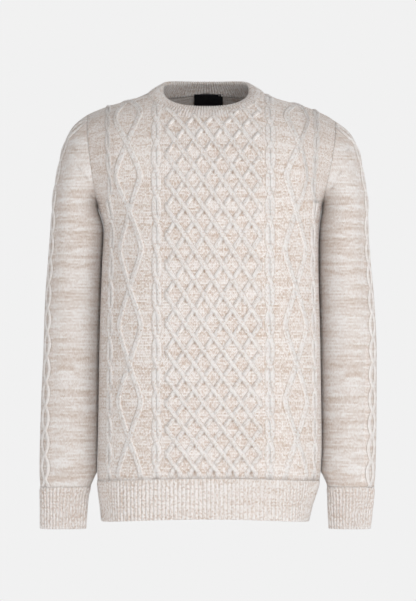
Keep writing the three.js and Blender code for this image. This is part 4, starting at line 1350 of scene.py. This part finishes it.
def yarn_material(name, streaks, specks):
    """Marled wool in knit and purl stitches, with painted shade and a painted highlight."""
    colours = bpy.context.scene.sweater_colours
    material = bpy.data.materials.new(name)
    material.use_nodes = True
    tree = material.node_tree
    surface = shader(material, Roughness=0.9, Sheen_Weight=0.22, Sheen_Roughness=0.5, IOR=1.4)
    surface.inputs["Specular IOR Level"].default_value = 0.25
    stitches = place_group(material, bpy.data.node_groups["Knit and purl stitches"])
    marl = place_group(material, bpy.data.node_groups["Marled yarn and painted shade"])
    for label in ("Wale", "Course", "Gap shade", "Leg"):
        tree.links.new(stitches.outputs[label], marl.inputs[label])
    for label, value in (("Ecru", colours.ecru), ("Tan", colours.tan), ("Shade colour", colours.deep)):
        marl.inputs[label].default_value = (*value, 1)
    marl.inputs["Streaks"].default_value = streaks
    marl.inputs["Specks"].default_value = specks
    tree.links.new(marl.outputs["Colour"], surface.inputs["Base Color"])
    bump = tree.nodes.new("ShaderNodeBump")
    bump.inputs["Distance"].default_value = bpy.context.scene.sweater_sizes.stitch_depth
    bump.inputs["Strength"].default_value = 1.0
    tree.links.new(stitches.outputs["Height"], bump.inputs["Height"])
    tree.links.new(bump.outputs["Normal"], surface.inputs["Normal"])


def label_material():
    """Black woven satin with a fine weave."""
    material = bpy.data.materials.new("Black woven label")
    material.use_nodes = True
    tree = material.node_tree
    surface = shader(material, IOR=1.3)
    place = tree.nodes.new("ShaderNodeUVMap")
    place.uv_map = "stitches"
    parts = tree.nodes.new("ShaderNodeSeparateXYZ")
    tree.links.new(place.outputs[0], parts.inputs[0])
    warp = maths(tree, "SINE", maths(tree, "MULTIPLY", parts.outputs[0], 14.0))
    weft = maths(tree, "SINE", maths(tree, "MULTIPLY", parts.outputs[1], 18.0))
    weave = maths(tree, "MULTIPLY", warp, weft)
    threads = noise(tree, parts.outputs[0], scaled(tree, parts.outputs[1], 6), 0, 3)
    grain = ramp(tree, threads, 0.3, 0.7)
    black = (*bpy.context.scene.sweater_colours.label, 1)
    grey = tuple(1.7 * channel for channel in black[:3]) + (1,)
    tree.links.new(blend(tree, grain, black, grey), surface.inputs["Base Color"])
    tree.links.new(maths(tree, "MULTIPLY_ADD", grain, 0.15, 0.5), surface.inputs["Roughness"])
    bump = tree.nodes.new("ShaderNodeBump")
    bump.inputs["Distance"].default_value = 0.1 * MM
    tree.links.new(weave, bump.inputs["Height"])
    tree.links.new(bump.outputs["Normal"], surface.inputs["Normal"])


def knit_materials():
    """The yarn in the cables, in plain knit and in the ribs, made once."""
    if "Knit and purl stitches" not in bpy.data.node_groups:
        stitch_group()
        marl_group()
    for yarn in YARNS:
        if yarn["name"] not in bpy.data.materials:
            yarn_material(**yarn)


def dress(piece, material):
    piece.data.materials.clear()
    piece.data.materials.append(bpy.data.materials[material])


class SweaterSizes(bpy.types.PropertyGroup):
    """Sizes of the knitting."""

    wale: bpy.props.FloatProperty(
        name="Wale", description="Width of one stitch", default=0.0033, min=0.001, unit="LENGTH")
    course: bpy.props.FloatProperty(
        name="Course", description="Height of one stitch", default=0.0025, min=0.001, unit="LENGTH")
    stitch_depth: bpy.props.FloatProperty(
        name="Stitch depth", description="Height of a stitch over its gaps",
        default=0.0011, unit="LENGTH")
    strand_height: bpy.props.FloatProperty(
        name="Lattice height", description="Height of the lattice's strands",
        default=0.0036, unit="LENGTH")
    rope_height: bpy.props.FloatProperty(
        name="Rope height", description="Height of the ropes", default=0.0026, unit="LENGTH")
    diamond_height: bpy.props.FloatProperty(
        name="Diamond height", description="Height of the diamonds' strands",
        default=0.0027, unit="LENGTH")
    rib_height: bpy.props.FloatProperty(
        name="Rib height", description="Height of a rib over its valley",
        default=0.0018, unit="LENGTH")


class SweaterColours(bpy.types.PropertyGroup):
    """Colours of the yarn, of the painted shade, and of the label."""

    ecru: bpy.props.FloatVectorProperty(
        name="Ecru", description="Light ply", subtype="COLOR", default=(0.92, 0.89, 0.87))
    tan: bpy.props.FloatVectorProperty(
        name="Tan", description="Dark ply", subtype="COLOR", default=(0.58, 0.45, 0.365))
    # Colour of the painted shade in gaps between stitches, along strand edges and in dents
    deep: bpy.props.FloatVectorProperty(
        name="Shade colour", description="Gaps between the stitches", subtype="COLOR",
        default=(0.27, 0.18, 0.13))
    label: bpy.props.FloatVectorProperty(
        name="Label", description="Neck label", subtype="COLOR", default=(0.006, 0.006, 0.008))


class SweaterStage(bpy.types.PropertyGroup):
    """Camera, light and backdrop."""

    distance: bpy.props.FloatProperty(
        name="Camera distance", description="From the camera to the sweater",
        default=4.6, unit="LENGTH")
    camera_z: bpy.props.FloatProperty(
        name="Camera height", description="Camera height from the shoulders",
        default=-0.40, unit="LENGTH")
    pixel: bpy.props.FloatProperty(
        name="Pixel", description="Size of one picture element at the sweater",
        default=0.00162, unit="LENGTH")
    backdrop: bpy.props.FloatVectorProperty(
        name="Backdrop", description="Backdrop colour", subtype="COLOR", default=(0.88, 0.88, 0.88))


class SWEATER_OT_front(bpy.types.Operator):
    """Knit the front panel with its cables"""

    bl_idname = "sweater.front"
    bl_label = "Front panel"

    def execute(self, context):
        knit_materials()
        piece = build_front()
        dress(piece, "Marled cable knit")
        sheet_facts(piece, ["front_panel"])
        return {"FINISHED"}


class SWEATER_OT_back(bpy.types.Operator):
    """Knit the plain back panel"""

    bl_idname = "sweater.back"
    bl_label = "Back panel"

    def execute(self, context):
        knit_materials()
        piece = build_back()
        dress(piece, "Marled plain knit")
        sheet_facts(piece, ["back_panel"])
        return {"FINISHED"}


class SWEATER_OT_hem(bpy.types.Operator):
    """Knit the hem ribs of both panels"""

    bl_idname = "sweater.hem"
    bl_label = "Hem ribs"

    def execute(self, context):
        knit_materials()
        for panel, name, node, above in (
            (FRONT, "sweater_hem_front", "hem_rib_front", "sweater_front"),
            (BACK, "sweater_hem_back", "hem_rib_back", "sweater_back"),
        ):
            piece = build_hem_rib(panel, name)
            dress(piece, "Marled rib")
            sheet_facts(piece, [node])
        return {"FINISHED"}


class SWEATER_OT_sleeves(bpy.types.Operator):
    """Knit both sleeves"""

    bl_idname = "sweater.sleeves"
    bl_label = "Sleeves"

    def execute(self, context):
        knit_materials()
        for side, name, node in ((-1, "sweater_sleeve_left", "sleeve_left"),
                                 (1, "sweater_sleeve_right", "sleeve_right")):
            piece = build_sleeve(side, name)
            dress(piece, "Marled plain knit")
            sheet_facts(piece, [node])
        return {"FINISHED"}


class SWEATER_OT_cuffs(bpy.types.Operator):
    """Knit both cuff ribs"""

    bl_idname = "sweater.cuffs"
    bl_label = "Cuff ribs"

    def execute(self, context):
        knit_materials()
        for side, name, node, above in (
            (-1, "sweater_cuff_left", "cuff_left", "sweater_sleeve_left"),
            (1, "sweater_cuff_right", "cuff_right", "sweater_sleeve_right"),
        ):
            piece = build_cuff(side, name)
            dress(piece, "Marled rib")
            sheet_facts(piece, [node])
        return {"FINISHED"}


class SWEATER_OT_neckband(bpy.types.Operator):
    """Knit the folded neckband"""

    bl_idname = "sweater.neckband"
    bl_label = "Neckband"

    def execute(self, context):
        knit_materials()
        piece = build_neckband()
        dress(piece, "Marled rib")
        sheet_facts(piece, ["neckband"])
        return {"FINISHED"}


class SWEATER_OT_label(bpy.types.Operator):
    """Weave the blank neck label"""

    bl_idname = "sweater.label"
    bl_label = "Neck label"

    def execute(self, context):
        piece = build_label()
        label_material()
        dress(piece, "Black woven label")
        sheet_facts(piece, ["neck_label"])
        return {"FINISHED"}


def area_light(name, place, target, size, power):
    """A soft square light that faces a point."""
    data = bpy.data.lights.new(name, "AREA")
    data.shape = "SQUARE"
    data.size = size
    data.energy = power
    lamp = bpy.data.objects.new(name, data)
    bpy.context.scene.collection.objects.link(lamp)
    lamp.location = place
    lamp.rotation_euler = (Vector(target) - Vector(place)).to_track_quat("-Z", "Y").to_euler()


def build_floor():
    """A plain pale floor far below the sweater, as deep as its wearer would stand."""
    bm = bmesh.new()
    bmesh.ops.create_grid(bm, x_segments=8, y_segments=8, size=FLOOR_HALF)
    bmesh.ops.translate(bm, verts=bm.verts[:], vec=(0, 0, FLOOR_Z))
    mesh = bpy.data.meshes.new("floor")
    bm.to_mesh(mesh)
    bm.free()
    floor = bpy.data.objects.new("floor", mesh)
    bpy.context.scene.collection.objects.link(floor)
    material = bpy.data.materials.new("Pale floor")
    material.use_nodes = True
    tree = material.node_tree
    surface = shader(material, Roughness=0.85)
    place = tree.nodes.new("ShaderNodeTexCoord")
    grain = tree.nodes.new("ShaderNodeTexNoise")
    grain.inputs["Scale"].default_value = 3
    tree.links.new(place.outputs["Object"], grain.inputs["Vector"])
    colour = blend(tree, grain.outputs["Fac"], (0.80, 0.80, 0.80, 1), (0.84, 0.84, 0.84, 1))
    tree.links.new(colour, surface.inputs["Base Color"])
    mesh.materials.append(material)


def build_backdrop(context):
    """The pale backdrop that the camera sees, and the weaker light that it gives."""
    world = bpy.data.worlds.new("Pale studio")
    context.scene.world = world
    world.use_nodes = True
    tree = world.node_tree
    tree.nodes.clear()
    seen = tree.nodes.new("ShaderNodeBackground")
    seen.inputs["Color"].default_value = (*context.scene.sweater_stage.backdrop, 1)
    lit = tree.nodes.new("ShaderNodeBackground")
    lit.inputs["Color"].default_value = (1, 1, 1, 1)
    lit.inputs["Strength"].default_value = 0.60
    path = tree.nodes.new("ShaderNodeLightPath")
    pick = tree.nodes.new("ShaderNodeMixShader")
    out = tree.nodes.new("ShaderNodeOutputWorld")
    tree.links.new(path.outputs["Is Camera Ray"], pick.inputs["Fac"])
    tree.links.new(lit.outputs[0], pick.inputs[1])
    tree.links.new(seen.outputs[0], pick.inputs[2])
    tree.links.new(pick.outputs[0], out.inputs[0])


class SWEATER_OT_stage(bpy.types.Operator):
    """Set up the floor, the backdrop, the lights and the camera"""

    bl_idname = "sweater.stage"
    bl_label = "Stage"

    def execute(self, context):
        stage = context.scene.sweater_stage
        build_floor()
        build_backdrop(context)
        for light in LIGHTS:
            area_light(**light)
        data = bpy.data.cameras.new("Camera")
        camera = bpy.data.objects.new("Camera", data)
        context.scene.collection.objects.link(camera)
        centre_x = (IMAGE_WIDTH / 2 - ORIGIN_PIXEL["across"]) * stage.pixel
        centre_z = (ORIGIN_PIXEL["down"] - IMAGE_HEIGHT / 2) * stage.pixel
        tall = IMAGE_HEIGHT * stage.pixel
        camera.location = (centre_x, -stage.distance, stage.camera_z)
        camera.rotation_euler = (math.pi / 2, 0, 0)
        data.lens = data.sensor_width * stage.distance / tall
        data.shift_y = (centre_z - stage.camera_z) / tall
        data.clip_end = 100
        context.scene.camera = camera
        context.scene.view_settings.view_transform = "Standard"
        return {"FINISHED"}


class SWEATER_PT_panel(bpy.types.Panel):
    """Sizes, colours and steps of the sweater"""

    bl_label = "Sweater"
    bl_idname = "SWEATER_PT_panel"
    bl_space_type = "VIEW_3D"
    bl_region_type = "UI"
    bl_category = "Sweater"

    def draw(self, context):
        for group in (context.scene.sweater_sizes, context.scene.sweater_colours,
                      context.scene.sweater_stage):
            for name in group.bl_rna.properties.keys():
                if name not in ("rna_type", "name"):
                    self.layout.prop(group, name)
        for step in STEPS:
            self.layout.operator(step.bl_idname)


GROUPS = (
    ("sweater_sizes", SweaterSizes),
    ("sweater_colours", SweaterColours),
    ("sweater_stage", SweaterStage),
)
STEPS = (
    SWEATER_OT_front,
    SWEATER_OT_back,
    SWEATER_OT_hem,
    SWEATER_OT_sleeves,
    SWEATER_OT_cuffs,
    SWEATER_OT_neckband,
    SWEATER_OT_label,
    SWEATER_OT_stage,
)


def register():
    for name, group in GROUPS:
        bpy.utils.register_class(group)
        setattr(bpy.types.Scene, name, bpy.props.PointerProperty(type=group))
    for step in STEPS:
        bpy.utils.register_class(step)
    bpy.utils.register_class(SWEATER_PT_panel)


def unregister():
    bpy.utils.unregister_class(SWEATER_PT_panel)
    for step in reversed(STEPS):
        bpy.utils.unregister_class(step)
    for name, group in reversed(GROUPS):
        delattr(bpy.types.Scene, name)
        bpy.utils.unregister_class(group)


def main():
    register()
    bpy.ops.sweater.front()
    bpy.ops.sweater.back()
    bpy.ops.sweater.hem()
    bpy.ops.sweater.sleeves()
    bpy.ops.sweater.cuffs()
    bpy.ops.sweater.neckband()
    bpy.ops.sweater.label()
    bpy.ops.sweater.stage()


if __name__ == "__main__":
    main()
